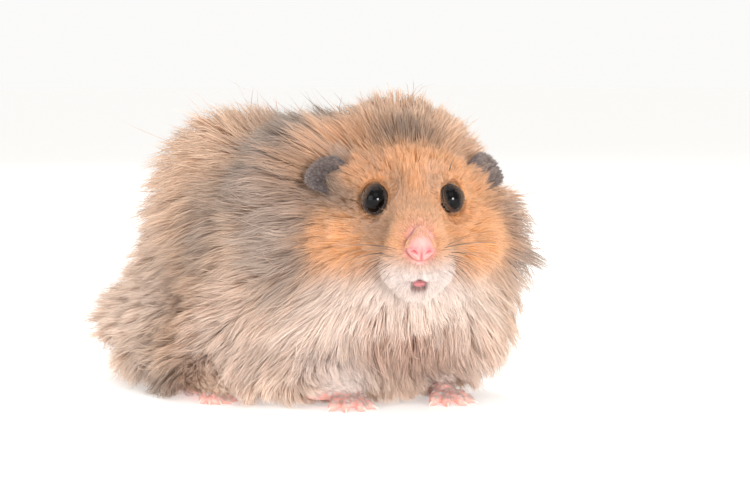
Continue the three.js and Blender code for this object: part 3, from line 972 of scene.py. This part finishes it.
def skinMaterial():
    material, tree, shader = newMaterial("skin")
    spot = tree.nodes.new("ShaderNodeTexCoord").outputs["Object"]
    marking = attributeNode(tree, "marking").outputs["Color"]
    bare = attributeNode(tree, "bare").outputs["Fac"]
    mottle = noiseAt(tree, spot, 900, 4)
    blotches = scaled(tree, mottle, 0, 0.35, 0.35, 0.7)
    flush = mixColour(tree, "MULTIPLY", blotches, marking, (0.86, 0.62, 0.6, 1))
    tree.links.new(flush, shader.inputs["Base Color"])
    tree.links.new(scaled(tree, bare, 0.75, 0.42), shader.inputs["Roughness"])
    setInputs(shader, skinGloss)
    setBump(tree, shader, noiseAt(tree, spot, 2600, 3), 0.16, 0.05)
    return material


def eyeMaterial():
    material, tree, shader = newMaterial("eye")
    ring = attributeNode(tree, "ring").outputs["Fac"]
    iris = scaled(tree, ring, 0, 1, 0.45, 0.75)
    spot = tree.nodes.new("ShaderNodeTexCoord").outputs["Object"]
    fleck = scaled(tree, noiseAt(tree, spot, 1500), 0.6, 1.0)
    colour = mixColour(tree, "MIX", iris, (0.002, 0.0015, 0.0015, 1), (0.006, 0.004, 0.003, 1))
    colour = mixColour(tree, "MULTIPLY", fleck, colour, (0.8, 0.7, 0.7, 1))
    tree.links.new(colour, shader.inputs["Base Color"])
    setInputs(shader, eyeGloss)
    return material


def hornMaterial(name, root, tip):
    material, tree, shader = newMaterial(name)
    along = attributeNode(tree, "along").outputs["Fac"]
    spot = tree.nodes.new("ShaderNodeTexCoord").outputs["Object"]
    grain = scaled(tree, noiseAt(tree, spot, 1800), 0.0, 0.5)
    colour = mixColour(tree, "MIX", along, (*linear(root), 1), (*linear(tip), 1))
    colour = mixColour(tree, "MULTIPLY", grain, colour, (0.85, 0.78, 0.75, 1))
    tree.links.new(colour, shader.inputs["Base Color"])
    setInputs(shader, hornGloss)
    return material


hairTone = hairToneGroup()
coatFinish = coatMaterial(hairTone)
skinFinish = skinMaterial()
paintSkin(skinWhole, skinKinds)
skin = placed("skin", skinWhole, skinFinish)
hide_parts("trunk", "neck", "head", "nose", "tail", "ear_left", "ear_right", *legs, *paws)
print("skin painted")


# eyes
def addEye(side):
    bm = bmesh.new()
    bmesh.ops.create_uvsphere(bm, u_segments=48, v_segments=32, radius=eyeRadius * mm)
    way, across, rise = lidFrame(side)
    turned = Matrix((across, rise, way)).transposed().to_4x4()
    bmesh.ops.transform(bm, matrix=Matrix.Translation(Vector(eyeAt[side] * mm)) @ turned, verts=bm.verts)
    name = "eye" + side.capitalize()
    eye = placed(name, meshOf(name, bm), eyeFinish)
    reach = unit(pointsOf(eye.data) - eyeAt[side]) @ way
    valueLayer(eye.data, "ring", np.arccos(np.clip(reach, -1, 1)) / (math.pi / 2))
    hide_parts("eye_" + side)


eyeFinish = eyeMaterial()
for side in eyeAt:
    addEye(side)
print("eyes set")


# claws
clawPlan = {
    "radius": 0.46, "length": 2.3, "sides": 10, "rings": 7, "start": 0.1, "rise": 0.25, "drop": 0.95,
    "lowest": 0.18, "taper": 0.85, "taperCurve": 1.5, "toeShare": 0.8, "toeHeight": 1.045,
    "tints": ((228, 186, 174), (246, 230, 220)),
}
foreFoot = {"palm": 2.9, "toes": (-44, -15, 14, 42), "reach": (4.4, 5.6, 5.6, 4.4)}
hindFoot = {"palm": 2.7, "toes": (-34, -16, 0, 16, 34), "reach": (4.0, 5.8, 6.2, 5.8, 4.2)}
feetPlan = {
    "forepaw_left": {"kind": foreFoot, "at": (8.94, -42.54), "turn": 22},
    "forepaw_right": {"kind": foreFoot, "at": (-13.06, -33.54), "turn": 25},
    "hindpaw_left": {"kind": hindFoot, "at": (30.94, -4.04), "turn": -24},
    "hindpaw_right": {"kind": hindFoot, "at": (-28.56, -5.04), "turn": 26},
}


def toeTips():
    rows = []
    for plan in feetPlan.values():
        kind = plan["kind"]
        for spread, reach in zip(kind["toes"], kind["reach"]):
            turn = math.radians(plan["turn"] + spread)
            way = np.array((-math.sin(turn), -math.cos(turn), 0))
            tip = np.array((*plan["at"], clawPlan["toeHeight"]))
            rows.append((tip + way * (kind["palm"] + reach * clawPlan["toeShare"]), way))
    return rows


# whiskers
whiskerPlan = {
    "rows": 4, "columns": 5, "radius": 0.075, "rings": 9, "sides": 5,
    "from": (11.2, 4.2, -10.2), "rowStep": (-0.1, 0.35, -1.25), "columnStep": (-1.0, 0.75, 0.1),
    "scatter": 0.12, "length": (9.0, 19.0), "lengthSpread": (0.75, 1.05), "wayStart": (0.25, 1, 0.25),
    "wayTurn": (-0.75, -0.33), "waySpread": 0.1, "bend": (-0.45, -0.1, -0.5), "bendStep": -0.12,
    "bendSpread": (0.6, 1.2), "curve": 0.55, "taper": 0.88, "thicker": (0.8, 0.4),
    "tints": ((70, 52, 44), (206, 176, 150)),
}
browPlan = {
    "count": 3, "from": (0.5, 7.6, 6.2), "step": (-0.7, 0.25, 0.1), "way": (-0.1, 0.35, 1.0),
    "wayStep": -0.25, "bend": (-0.5, 0.25, -0.15), "curve": 0.5, "length": 6.5, "radius": 0.05, "taper": 0.85,
}


def growSpine(bm, middles, sizes, sides):
    # a closed tapering tube through the given middles; returns its rings of points
    ring = bmesh.ops.create_circle(bm, segments=sides, radius=1)["verts"]
    rings = [ring]
    edges = list({e for v in ring for e in v.link_edges})
    for _ in middles[1:]:
        grown = bmesh.ops.extrude_edge_only(bm, edges=edges)["geom"]
        rings.append([g for g in grown if isinstance(g, bmesh.types.BMVert)])
        edges = [g for g in grown if isinstance(g, bmesh.types.BMEdge)
                 and g.verts[0] in rings[-1] and g.verts[1] in rings[-1]]
    ways = unit(np.gradient(np.array(middles), axis=0))
    for ring, middle, size, way in zip(rings, middles, sizes, ways):
        across = unit(np.cross(way, upAxis + 0.01))
        rise = np.cross(across, way)
        for v in ring:
            v.co = Vector((middle + (across * v.co.x + rise * v.co.y) * size) * mm)
    bmesh.ops.contextual_create(bm, geom=rings[-1])
    return rings


def storeAlong(mesh, ringCount, sides, count):
    single = np.repeat(np.linspace(0, 1, ringCount), sides)
    valueLayer(mesh, "along", np.tile(single, count))


def addClaws():
    plan = clawPlan
    bm = bmesh.new()
    tips = toeTips()
    t = np.linspace(0, 1, plan["rings"])
    height = (plan["rise"] * t - plan["drop"] * t * t)[:, None]
    sizes = plan["radius"] * (1 - plan["taper"] * t ** plan["taperCurve"])
    for tip, way in tips:
        middles = tip + way * (plan["start"] + plan["length"] * t)[:, None] + upAxis * height
        middles[:, 2] = np.maximum(middles[:, 2], plan["lowest"])
        growSpine(bm, middles, sizes, plan["sides"])
    bmesh.ops.recalc_face_normals(bm, faces=bm.faces)
    claws = placed("claws", meshOf("claws", bm), hornMaterial("claw", *clawPlan["tints"]))
    storeAlong(claws.data, plan["rings"], plan["sides"], len(tips))


def whisker(row, column, t, picks):
    # the course of one whisker of the muzzle, and its thickness along it
    plan = whiskerPlan
    start = np.array(plan["from"]) + np.array(plan["rowStep"]) * row + (
        np.array(plan["columnStep"]) * column) + picks.normal(size=3) * plan["scatter"]
    share = (column + 0.5) / plan["columns"]
    short, long = plan["length"]
    length = (short + (long - short) * share) * picks.uniform(*plan["lengthSpread"])
    forward, aside, up = plan["wayStart"]
    turn, fall = plan["wayTurn"]
    up = up + fall * row + picks.normal() * plan["waySpread"]
    way = unit((forward + turn * share, aside, up))
    bend = (plan["bend"] + np.array((0, 0, plan["bendStep"] * row))) * picks.uniform(*plan["bendSpread"])
    first, growth = plan["thicker"]
    sizes = plan["radius"] * (1 - plan["taper"] * t[:, 0]) * (first + growth * share)
    return start + (way * t + bend * t * t * plan["curve"]) * length, sizes


def browHair(k, t):
    plan = browPlan
    start = np.array(plan["from"]) + np.array(plan["step"]) * k
    forward, aside, up = plan["way"]
    way = unit((forward + plan["wayStep"] * k, aside, up))
    path = start + (way * t + np.array(plan["bend"]) * t * t * plan["curve"]) * (plan["length"] - k)
    return path, plan["radius"] * (1 - plan["taper"] * t[:, 0])


def addWhiskers():
    plan = whiskerPlan
    picks = np.random.default_rng(21)
    bm = bmesh.new()
    t = np.linspace(0, 1, plan["rings"])[:, None]
    count = 0
    for flip in (1, -1):
        grown = [whisker(row, column, t, picks)
                 for row in range(plan["rows"]) for column in range(plan["columns"])]
        grown += [browHair(k, t) for k in range(browPlan["count"])]
        for path, sizes in grown:
            growSpine(bm, fromHead(path * (1, flip, 1)), sizes, plan["sides"])
        count += len(grown)
    bmesh.ops.recalc_face_normals(bm, faces=bm.faces)
    whiskers = placed("whiskers", meshOf("whiskers", bm), hornMaterial("whisker", *plan["tints"]))
    storeAlong(whiskers.data, plan["rings"], plan["sides"], count)


addClaws()
addWhiskers()
print("claws and whiskers set")


# coat: thin flat hairs in locks over the skin, joined into a few pieces
# over: how far the guide courses run past a hair's length; stand: a hair's height over the skin, as a
# share of the depth and a fixed part; width and lowLength: a fixed part and what each mm adds, of
# length and of height over the floor; limit: faces in one piece
coatPlan = {
    "steps": 6, "over": 1.15, "sink": 0.3, "relax": 0.45, "gravity": 0.35, "heavy": (4, 12), "floor": 0.45,
    "short": 5, "cover": 7.9, "faceCover": 5.6, "fill": 0.6, "width": (0.046, 0.0075), "limit": 196000,
    "quickShare": 0.1, "lowLength": (6, 0.9), "patch": 0.003, "unwrapAngle": 75, "unwrapMargin": 0.004,
    "stand": (1.1, 0.3), "standCurve": 2.2, "pull": (0.22, 0.35), "pullLimits": (-1.2, 1.5), "clear": 0.12,
    "partTint": 0.9,
}
# how hairs gather in locks and differ from one another; reach and tone: mean and spread; dark and
# light: the share below or above which a hair is odd, and its tone then
lockPlan = {
    "reach": (0.93, 0.09), "ownReach": 0.1, "reachLimits": (0.45, 1.13), "lean": 0.13, "gather": (0.6, 1.25),
    "stray": 0.06, "strayLean": (0.05, 0.2), "strayLift": 0.12, "wave": 0.018, "waveTurns": 5.0,
    "floorShare": 0.6, "margin": 0.5, "bendBack": 0.55, "twist": 0.5, "girth": (0.75, 0.5, -0.9),
    "girthSpread": (0.75, 1.3), "tone": (0.52, 0.15), "lockTone": 0.1, "dark": (0.05, 0.02),
    "light": (0.93, 0.98),
}
# hair on the parts joined into the skin; length and cover in pairs: a fixed part and what is added
partHair = {
    "ear": {"depth": 0.35, "length": 1.3, "lift": 24, "cover": 3.4},
    "lid": {"depth": 0.3, "lift": 25},
    "tail": {"length": 3.0, "cover": 3.0},
    "nose": {"length": 0.9},
}
earHair = {"from": (-9, 11, 4), "margin": 3}
lidHair = {"outer": (4, 9), "length": (0.5, 0.5), "cover": (0.35, 5), "margin": 2}
noseHair = {"cover": 3.5, "top": (0.8, 3), "side": (1.6, 2.8), "sideRise": (-1, 1)}
eyeHair = {
    "turn": (0.8, 3.5), "push": 2.2, "length": (0.9, 0.75), "lidLength": 9, "free": 12, "fade": (3, 7),
    "bare": 0.05, "lidBare": 0.3,
}
barePlan = {
    "noseRing": (3.9, 3.5, 4.0), "noseFade": (0.7, 1.3), "mouthAt": (10.4, 0, -16.7),
    "mouthSize": (4, 1.45, 1.1), "mouthFade": (0.85, 1.1), "soleTop": 1.6, "paw": 0.22,
    "underFacing": (-0.25, -0.75), "underTop": (6, 16), "underLess": 0.7,
}


# seed: a point of the region; segments: bends in a hair; lock: how far the locks stand apart
def region(seed, lock, gather, segments=4):
    return {"seed": seed, "lock": lock, "gather": gather, "segments": segments}


coatRegions = {
    "face": region(fromHead((6, 0, -6)), 0.6, 0.22, 2),
    "crown": region(fromHead((-9, 0, 10)), 1.1, 0.38, 3),
    "cheekLeft": region(fromHead((-7, 14, -9)), 1.1, 0.4, 3),
    "cheekRight": region(fromHead((-7, -14, -9)), 1.1, 0.4, 3),
    "nape": region(fromHead((-26, 0, 18)), 2.0, 0.55),
    "ruffLeft": region(fromHead((-20, 26, -12)), 2.0, 0.55),
    "ruffRight": region(fromHead((-20, -26, -12)), 2.0, 0.55),
    "chest": region(fromHead((-2, 0, -28)), 1.9, 0.6),
    "backLeft": region((14, 10, 60), 2.4, 0.55),
    "backRight": region((-16, 10, 60), 2.4, 0.55),
    "sideLeft": region((28, 10, 32), 2.4, 0.55),
    "sideRight": region((-30, 10, 32), 2.4, 0.55),
    "rump": region((-1, 48, 34), 2.4, 0.55),
    "skirtLeft": region((28, 0, 8), 2.2, 0.55),
    "skirtRight": region((-30, 0, 8), 2.2, 0.55),
    "belly": region((-1, 10, 2), 2.2, 0.5, 3),
}


def nearestOn(tree, triangles, normals, points):
    found = [tree.find_nearest(p)[0::2] for p in points.tolist()]
    near = np.array([tuple(f[0]) for f in found])
    face = np.array([f[1] for f in found])
    return near, normals[triangles[face, 0]]


def turnPartHair(points, kinds, lie):
    # on the ears the hair runs away from a point in the head, on the lids away from the opening
    for side in eyeAt:
        low, high = nodeBox("ear_" + side)
        margin = earHair["margin"]
        middle = fromHead(np.array(earHair["from"]) * (1, 1 if side == "left" else -1, 1))
        mine = (kinds == "ear") & np.all((points > low - margin) & (points < high + margin), axis=1)
        lie[mine] = unit(points[mine] - middle)
        away = points - eyeAt[side]
        mine = (kinds == "lid") & (np.linalg.norm(away, axis=1) < eyeRadius + lidHair["margin"])
        lie[mine] = unit(unit(away)[mine] - lidFrame(side)[0])


def setPartHair(points, kinds, outer, hair):
    for kind, facts in partHair.items():
        for name, value in facts.items():
            hair[name] = np.where(kinds == kind, value, hair[name])
    for name in ("length", "cover"):
        first, growth = lidHair[name]
        hair[name] = np.where(kinds == "lid", first + growth * outer, hair[name])
    muzzle = toHead(points) - toHead(noseAt)
    aside, rise = np.abs(muzzle[:, 1]), muzzle[:, 2]
    edge = np.maximum(ease(*noseHair["top"], rise),
                      ease(*noseHair["side"], aside) * ease(*noseHair["sideRise"], rise))
    hair["cover"] = np.where(kinds == "nose", noseHair["cover"] * edge, hair["cover"])


def shortenNearEyes(points, lid, outer, hair, lie):
    # round the eyes the hair is short and turns away from them
    plan = eyeHair
    for centre in eyeAt.values():
        gap = np.linalg.norm(points - centre, axis=1) - eyeRadius
        near = ((1 - ease(*plan["turn"], gap)) * ~lid)[:, None]
        lie = unit(lie + unit(points - centre) * plan["push"] * near)
        first, growth = plan["length"]
        longest = np.where(lid, plan["lidLength"], first + growth * np.maximum(gap, 0))
        hair["length"] = np.minimum(hair["length"], longest + plan["free"] * ease(*plan["fade"], gap))
        hair["cover"] = hair["cover"] * (lid | ((gap > plan["bare"]) & (outer > plan["lidBare"])))
    return lie


def thinned(points, normals, kinds, cover):
    # the nose, mouth and soles are bare, the paws thinly haired, and the underside thinner
    plan = barePlan
    head = toHead(points)
    nose = ease(*plan["noseFade"], within(head, toHead(noseAt), plan["noseRing"]))
    cover = cover * np.where(kinds == "nose", 1, nose)
    cover = cover * ease(*plan["mouthFade"], within(head, plan["mouthAt"], plan["mouthSize"]))
    paw = bareShare(points) > 0
    cover = cover * np.where(paw, plan["paw"], 1) * ~(paw & (points[:, 2] < plan["soleTop"]))
    under = ease(*plan["underFacing"], normals[:, 2]) * (1 - ease(*plan["underTop"], points[:, 2]))
    return cover * (1 - plan["underLess"] * under)


def hairFacts(points, normals, kinds):
    # what grows at each point of the skin: depth, length, lift, way, width, how thickly and puff
    plan = coatPlan
    depth, length, lift, lie, puff = coatAt(points)
    cover = np.where(length < plan["short"], plan["faceCover"], plan["cover"])
    first, growth = plan["lowLength"]
    length = np.minimum(length, first + growth * np.maximum(points[:, 2], 0))
    hair = {"depth": depth, "length": length, "lift": lift, "cover": cover}
    outer = ease(*lidHair["outer"], pastLid(points))
    turnPartHair(points, kinds, lie)
    setPartHair(points, kinds, outer, hair)
    lie = shortenNearEyes(points, kinds == "lid", outer, hair, lie)
    cover = thinned(points, normals, kinds, hair["cover"])
    width = plan["width"][0] + plan["width"][1] * hair["length"]
    density = cover / (hair["length"] * width * plan["fill"])
    return hair["depth"], hair["length"], hair["lift"], lie, width, density, puff


def hairPaths(points, normals, triangles, facts):
    # the course of a full-length hair from every point of the skin, and the outward way along it
    plan = coatPlan
    depth, length, lift, lie = facts[:4]
    stand = depth * plan["stand"][0] + plan["stand"][1] + facts[6]
    give = plan["pull"][0] * depth[:, None] + plan["pull"][1]
    tree = BVHTree.FromPolygons(points.tolist(), triangles.tolist())
    rise = np.radians(lift)[:, None]
    flat = unit(lie - (lie * normals).sum(1, keepdims=True) * normals)
    way = unit(flat * np.cos(rise) + normals * np.sin(rise))
    at = points - normals * np.minimum(plan["sink"], depth)[:, None]
    path, outward = [at - points], [normals]
    stride = (length * plan["over"] / plan["steps"])[:, None]
    for step in range(plan["steps"]):
        t = (step + 1) / plan["steps"]
        at = at + way * stride
        near, normal = nearestOn(tree, triangles, normals, at)
        height = ((at - near) * normal).sum(1, keepdims=True)
        lieHere = np.where(length[:, None] > plan["short"], coatAt(at)[3], lie)
        flat = unit(lieHere - (lieHere * normal).sum(1, keepdims=True) * normal)
        goal = (stand * (1 - (1 - t) ** plan["standCurve"]))[:, None]
        pull = np.clip((goal - height) / give, *plan["pullLimits"])
        drop = upAxis * plan["gravity"] * t * ease(*plan["heavy"], length)[:, None]
        want = unit(flat + normal * pull - drop)
        way = unit(way * (1 - plan["relax"]) + want * plan["relax"])
        at = at + normal * np.maximum(plan["clear"] - height, 0)
        at[:, 2] = np.maximum(at[:, 2], plan["floor"])
        path.append(at - points)
        outward.append(normal)
    return np.stack(path, 1), np.stack(outward, 1)


def nearestOf(points, centres, size=4000):
    # index of the nearest centre to each point, worked through in slices of the given size
    best = np.empty(len(points), int)
    for start in range(0, len(points), size):
        part = points[start:start + size].astype(np.float32)
        gap = (centres ** 2).sum(1)[None] - 2 * part @ centres.T.astype(np.float32)
        best[start:start + size] = gap.argmin(1)
    return best


def unwrapped(points, triangles):
    # an unwrap of this part of the skin; one place for each corner of each triangle
    used, local = np.unique(triangles, return_inverse=True)
    mesh = bpy.data.meshes.new("unwrap")
    mesh.from_pydata((points[used] * mm).tolist(), [], local.reshape(-1, 3).tolist())
    mesh.uv_layers.new(name="places")
    passing = linked("unwrap", mesh)
    bpy.context.view_layer.objects.active = passing
    passing.select_set(True)
    bpy.ops.object.mode_set(mode="EDIT")
    bpy.ops.mesh.select_all(action="SELECT")
    angle = math.radians(coatPlan["unwrapAngle"])
    bpy.ops.uv.smart_project(angle_limit=angle, island_margin=coatPlan["unwrapMargin"])
    bpy.ops.object.mode_set(mode="OBJECT")
    flat = np.empty(len(mesh.loops) * 2)
    mesh.uv_layers["places"].data.foreach_get("uv", flat)
    bpy.data.objects.remove(passing)
    bpy.data.meshes.remove(mesh)
    return flat.reshape(-1, 3, 2)


def scattered(plan, points, triangles, density, picks):
    # where the hairs root: the triangle of each and its share of the corners, and the count of locks
    p, q, r = (points[triangles[:, k]] for k in range(3))
    area = np.linalg.norm(np.cross(q - p, r - p), axis=1) / 2
    wanted = area * density[triangles].mean(1)
    most = coatPlan["limit"] / (2 * plan["segments"] - 1)
    share = min(1, most / max(wanted.sum(), 1))
    counts = picks.poisson(wanted * share * (1))
    ids = np.repeat(np.arange(len(triangles)), counts)
    a, b = picks.random(len(ids)), picks.random(len(ids))
    over = a + b > 1
    a[over], b[over] = 1 - a[over], 1 - b[over]
    lockCount = max(int(area.sum() * share / plan["lock"] ** 2), 3)
    return ids, np.stack((1 - a - b, a, b), 1), min(lockCount, len(ids))


def lockLines(plan, root, path, out, long, lockCount, picks):
    # the line of each hair, with neighbours in a lock alike; also the outward ways and the locks
    count = len(root)
    heads = picks.choice(count, lockCount, replace=False)
    lock = nearestOf(root, root[heads])
    reach = picks.normal(*lockPlan["reach"], lockCount)[lock] * picks.normal(1, lockPlan["ownReach"], count)
    reach = np.clip(reach, *lockPlan["reachLimits"])
    t = np.linspace(0, 1, plan["segments"] + 1)
    spot = np.clip(t[None] * reach[:, None] / coatPlan["over"], 0, 0.999) * coatPlan["steps"]
    index = spot.astype(int)
    rest = (spot - index)[:, :, None]
    rows = np.arange(count)[:, None]
    course = path[rows, index] * (1 - rest) + path[rows, index + 1] * rest
    line = root[:, None] + course

    # each hair leans to its lock's own course, which strays a little from the lie
    lean = picks.normal(size=(lockCount, 3)) * lockPlan["lean"] * long[heads][:, None]
    leadLine = line[heads] + lean[:, None] * (t ** 2)[None, :, None]
    gather = plan["gather"] * picks.uniform(*lockPlan["gather"], count)
    gather = gather[:, None, None] * (t ** 1.2)[None, :, None]
    return line + (leadLine[lock] - line) * gather, out[rows, index], lock


def strayed(line, out, long, lock, lockCount, picks):
    # hairs lean each its own way, a few of them more and lifted, and wave a little with their lock
    count = len(line)
    t = np.linspace(0, 1, line.shape[1])
    stray = picks.random(count) < lockPlan["stray"]
    least, most = lockPlan["strayLean"]
    loose = picks.normal(size=(count, 3)) * np.where(stray, most, least)[:, None] * long[:, None]
    lift = np.where(stray, picks.uniform(0, lockPlan["strayLift"], count), 0)
    loose += out[:, 0] * lift[:, None] * long[:, None]
    line = line + loose[:, None] * (t ** 1.6)[None, :, None]
    wave = unit(np.cross(line[:, -1] - line[:, 0], out[:, 0]))
    swing = picks.normal(0, lockPlan["wave"], lockCount)[lock] * long
    phase = picks.uniform(0, fullTurn, lockCount)[lock]
    swing = swing[:, None] * t * np.sin(lockPlan["waveTurns"] * t[None] + phase[:, None])
    return line + wave[:, None] * swing[:, :, None]


def bendBack(line):
    # hairs stay off the floor, and the longest bend back as they pass the outline
    line[:, :, 2] = np.maximum(line[:, :, 2], coatPlan["floor"] * lockPlan["floorShare"])
    margin = lockPlan["margin"]
    for k in range(3):
        top, bottom = cadBox[1][k] / mm + margin, cadBox[0][k] / mm - (margin if k < 2 else 99)
        past = np.maximum(line[:, :, k] - top, 0) - np.maximum(bottom - line[:, :, k], 0)
        line[:, :, k] -= lockPlan["bendBack"] * past


def ribbonPoints(line, side, wide, picks):
    # flat ribbons that face outwards, give or take a twist, and end in a point
    count = len(line)
    t = np.linspace(0, 1, line.shape[1])
    way = unit(np.gradient(line, axis=1))
    across = unit(np.cross(way, side))
    twist = picks.normal(0, lockPlan["twist"], count)[:, None, None]
    across = across * np.cos(twist) + np.cross(way, across) * np.sin(twist)
    root, swell, taper = lockPlan["girth"]
    girth = wide[:, None] * (root + swell * t + taper * t ** 3)[None]
    girth = girth * picks.uniform(*lockPlan["girthSpread"], count)[:, None]
    left = line[:, :-1] - across[:, :-1] * girth[:, :-1, None] / 2
    right = line[:, :-1] + across[:, :-1] * girth[:, :-1, None] / 2
    pairs = np.stack((left, right), 2).reshape(count, -1, 3)
    return np.concatenate((pairs, line[:, -1:]), 1)


def ribbonMesh(name, hairPoints, segments):
    count, each = hairPoints.shape[:2]
    facesOne = []
    for k in range(segments - 1):
        facesOne += [(2 * k, 2 * k + 1, 2 * k + 3), (2 * k, 2 * k + 3, 2 * k + 2)]
    facesOne.append((2 * segments - 2, 2 * segments - 1, 2 * segments))
    faces = (np.array(facesOne)[None] + (np.arange(count) * each)[:, None, None]).reshape(-1, 3)
    mesh = bpy.data.meshes.new(name)
    mesh.vertices.add(count * each)
    mesh.vertices.foreach_set("co", (hairPoints * mm).astype(np.float32).ravel())
    mesh.loops.add(len(faces) * 3)
    mesh.loops.foreach_set("vertex_index", faces.ravel().astype(np.int32))
    mesh.polygons.add(len(faces))
    mesh.polygons.foreach_set("loop_start", np.arange(0, len(faces) * 3, 3, dtype=np.int32))
    mesh.update(calc_edges=True)
    return mesh, faces


def hairTones(count, lock, lockCount, picks):
    # how light each hair is: alike in a lock, with a few much darker or lighter
    tone = picks.normal(*lockPlan["tone"], count) + picks.normal(0, lockPlan["lockTone"], lockCount)[lock]
    odd = picks.random(count)
    (darkBelow, dark), (lightAbove, light) = lockPlan["dark"], lockPlan["light"]
    return np.where(odd < darkBelow, dark, np.where(odd > lightAbove, light, np.clip(tone, 0, 1)))


def growRegion(name, plan, points, triangles, facts, paths, outward, colours, picks):
    length, width, density = facts[1], facts[4], facts[5]
    ids, part, lockCount = scattered(plan, points, triangles, density, picks)
    count, segments = len(ids), plan["segments"]
    if not count:
        return 0
    corner = triangles[ids]

    def blended(values):
        return (values[corner] * part.reshape(part.shape + (1,) * (values.ndim - 1))).sum(1)
    out, long = unit(blended(outward)), blended(length)
    line, side, lock = lockLines(plan, blended(points), blended(paths), out, long, lockCount, picks)
    line = strayed(line, out, long, lock, lockCount, picks)
    bendBack(line)
    hairPoints = ribbonPoints(line, side, blended(width), picks)
    mesh, faces = ribbonMesh(name, hairPoints, segments)
    each = hairPoints.shape[1]
    along = np.append(np.repeat(np.linspace(0, 1, segments + 1)[:-1], 2), 1)
    across = np.append(np.tile((-0.5, 0.5), segments), 0)
    colourLayer(mesh, "marking", np.repeat(blended(colours), each, 0))
    valueLayer(mesh, "along", np.tile(along, count))
    valueLayer(mesh, "tone", np.repeat(hairTones(count, lock, lockCount, picks), each))

    # each hair gets a small patch of its own in the places kept for baking, at its root's place on the
    # unwrapped skin
    places = mesh.uv_layers.new(name="OFBake")
    rootPlace = (unwrapped(points, triangles)[ids] * part[:, :, None]).sum(1)
    patch = np.stack((across, along - 0.5), 1) * coatPlan["patch"]
    spread = (rootPlace * (1 - 2 * coatPlan["patch"]) + coatPlan["patch"])[:, None] + patch[None]
    places.data.foreach_set("uv", spread.reshape(-1, 2)[faces.ravel()].astype(np.float32).ravel())
    piece = placed("coat" + name[0].upper() + name[1:], mesh, coatFinish)
    print("  ", piece.name, len(faces), "faces")
    return len(faces)


def growCoat():
    points, triangles = pointsOf(skinWhole), trianglesOf(skinWhole)
    normals = pointNormals(points, triangles)
    facts = hairFacts(points, normals, skinKinds)
    paths, outward = hairPaths(points, normals, triangles, facts)
    colours = markingsWithShadeAt(points)
    for share, tint in ((skinKinds == "ear", "earGrey"), (skinKinds == "lid", "rim"),
                        (bareShare(points) > 0, "white")):
        colours = colours + (linear(tints[tint]) - colours) * (share * coatPlan["partTint"])[:, None]
    grows = facts[5][triangles].max(1) > 0
    seeds = np.array([plan["seed"] for plan in coatRegions.values()], float)
    owner = nearestOf(points[triangles].mean(1), seeds)
    total = 0
    for k, (name, plan) in enumerate(coatRegions.items()):
        mine = triangles[grows & (owner == k)]
        picks = np.random.default_rng(100 + k)
        total += growRegion(name, plan, points, mine, facts, paths, outward, colours, picks)
    print("coat:", total, "faces")


growCoat()
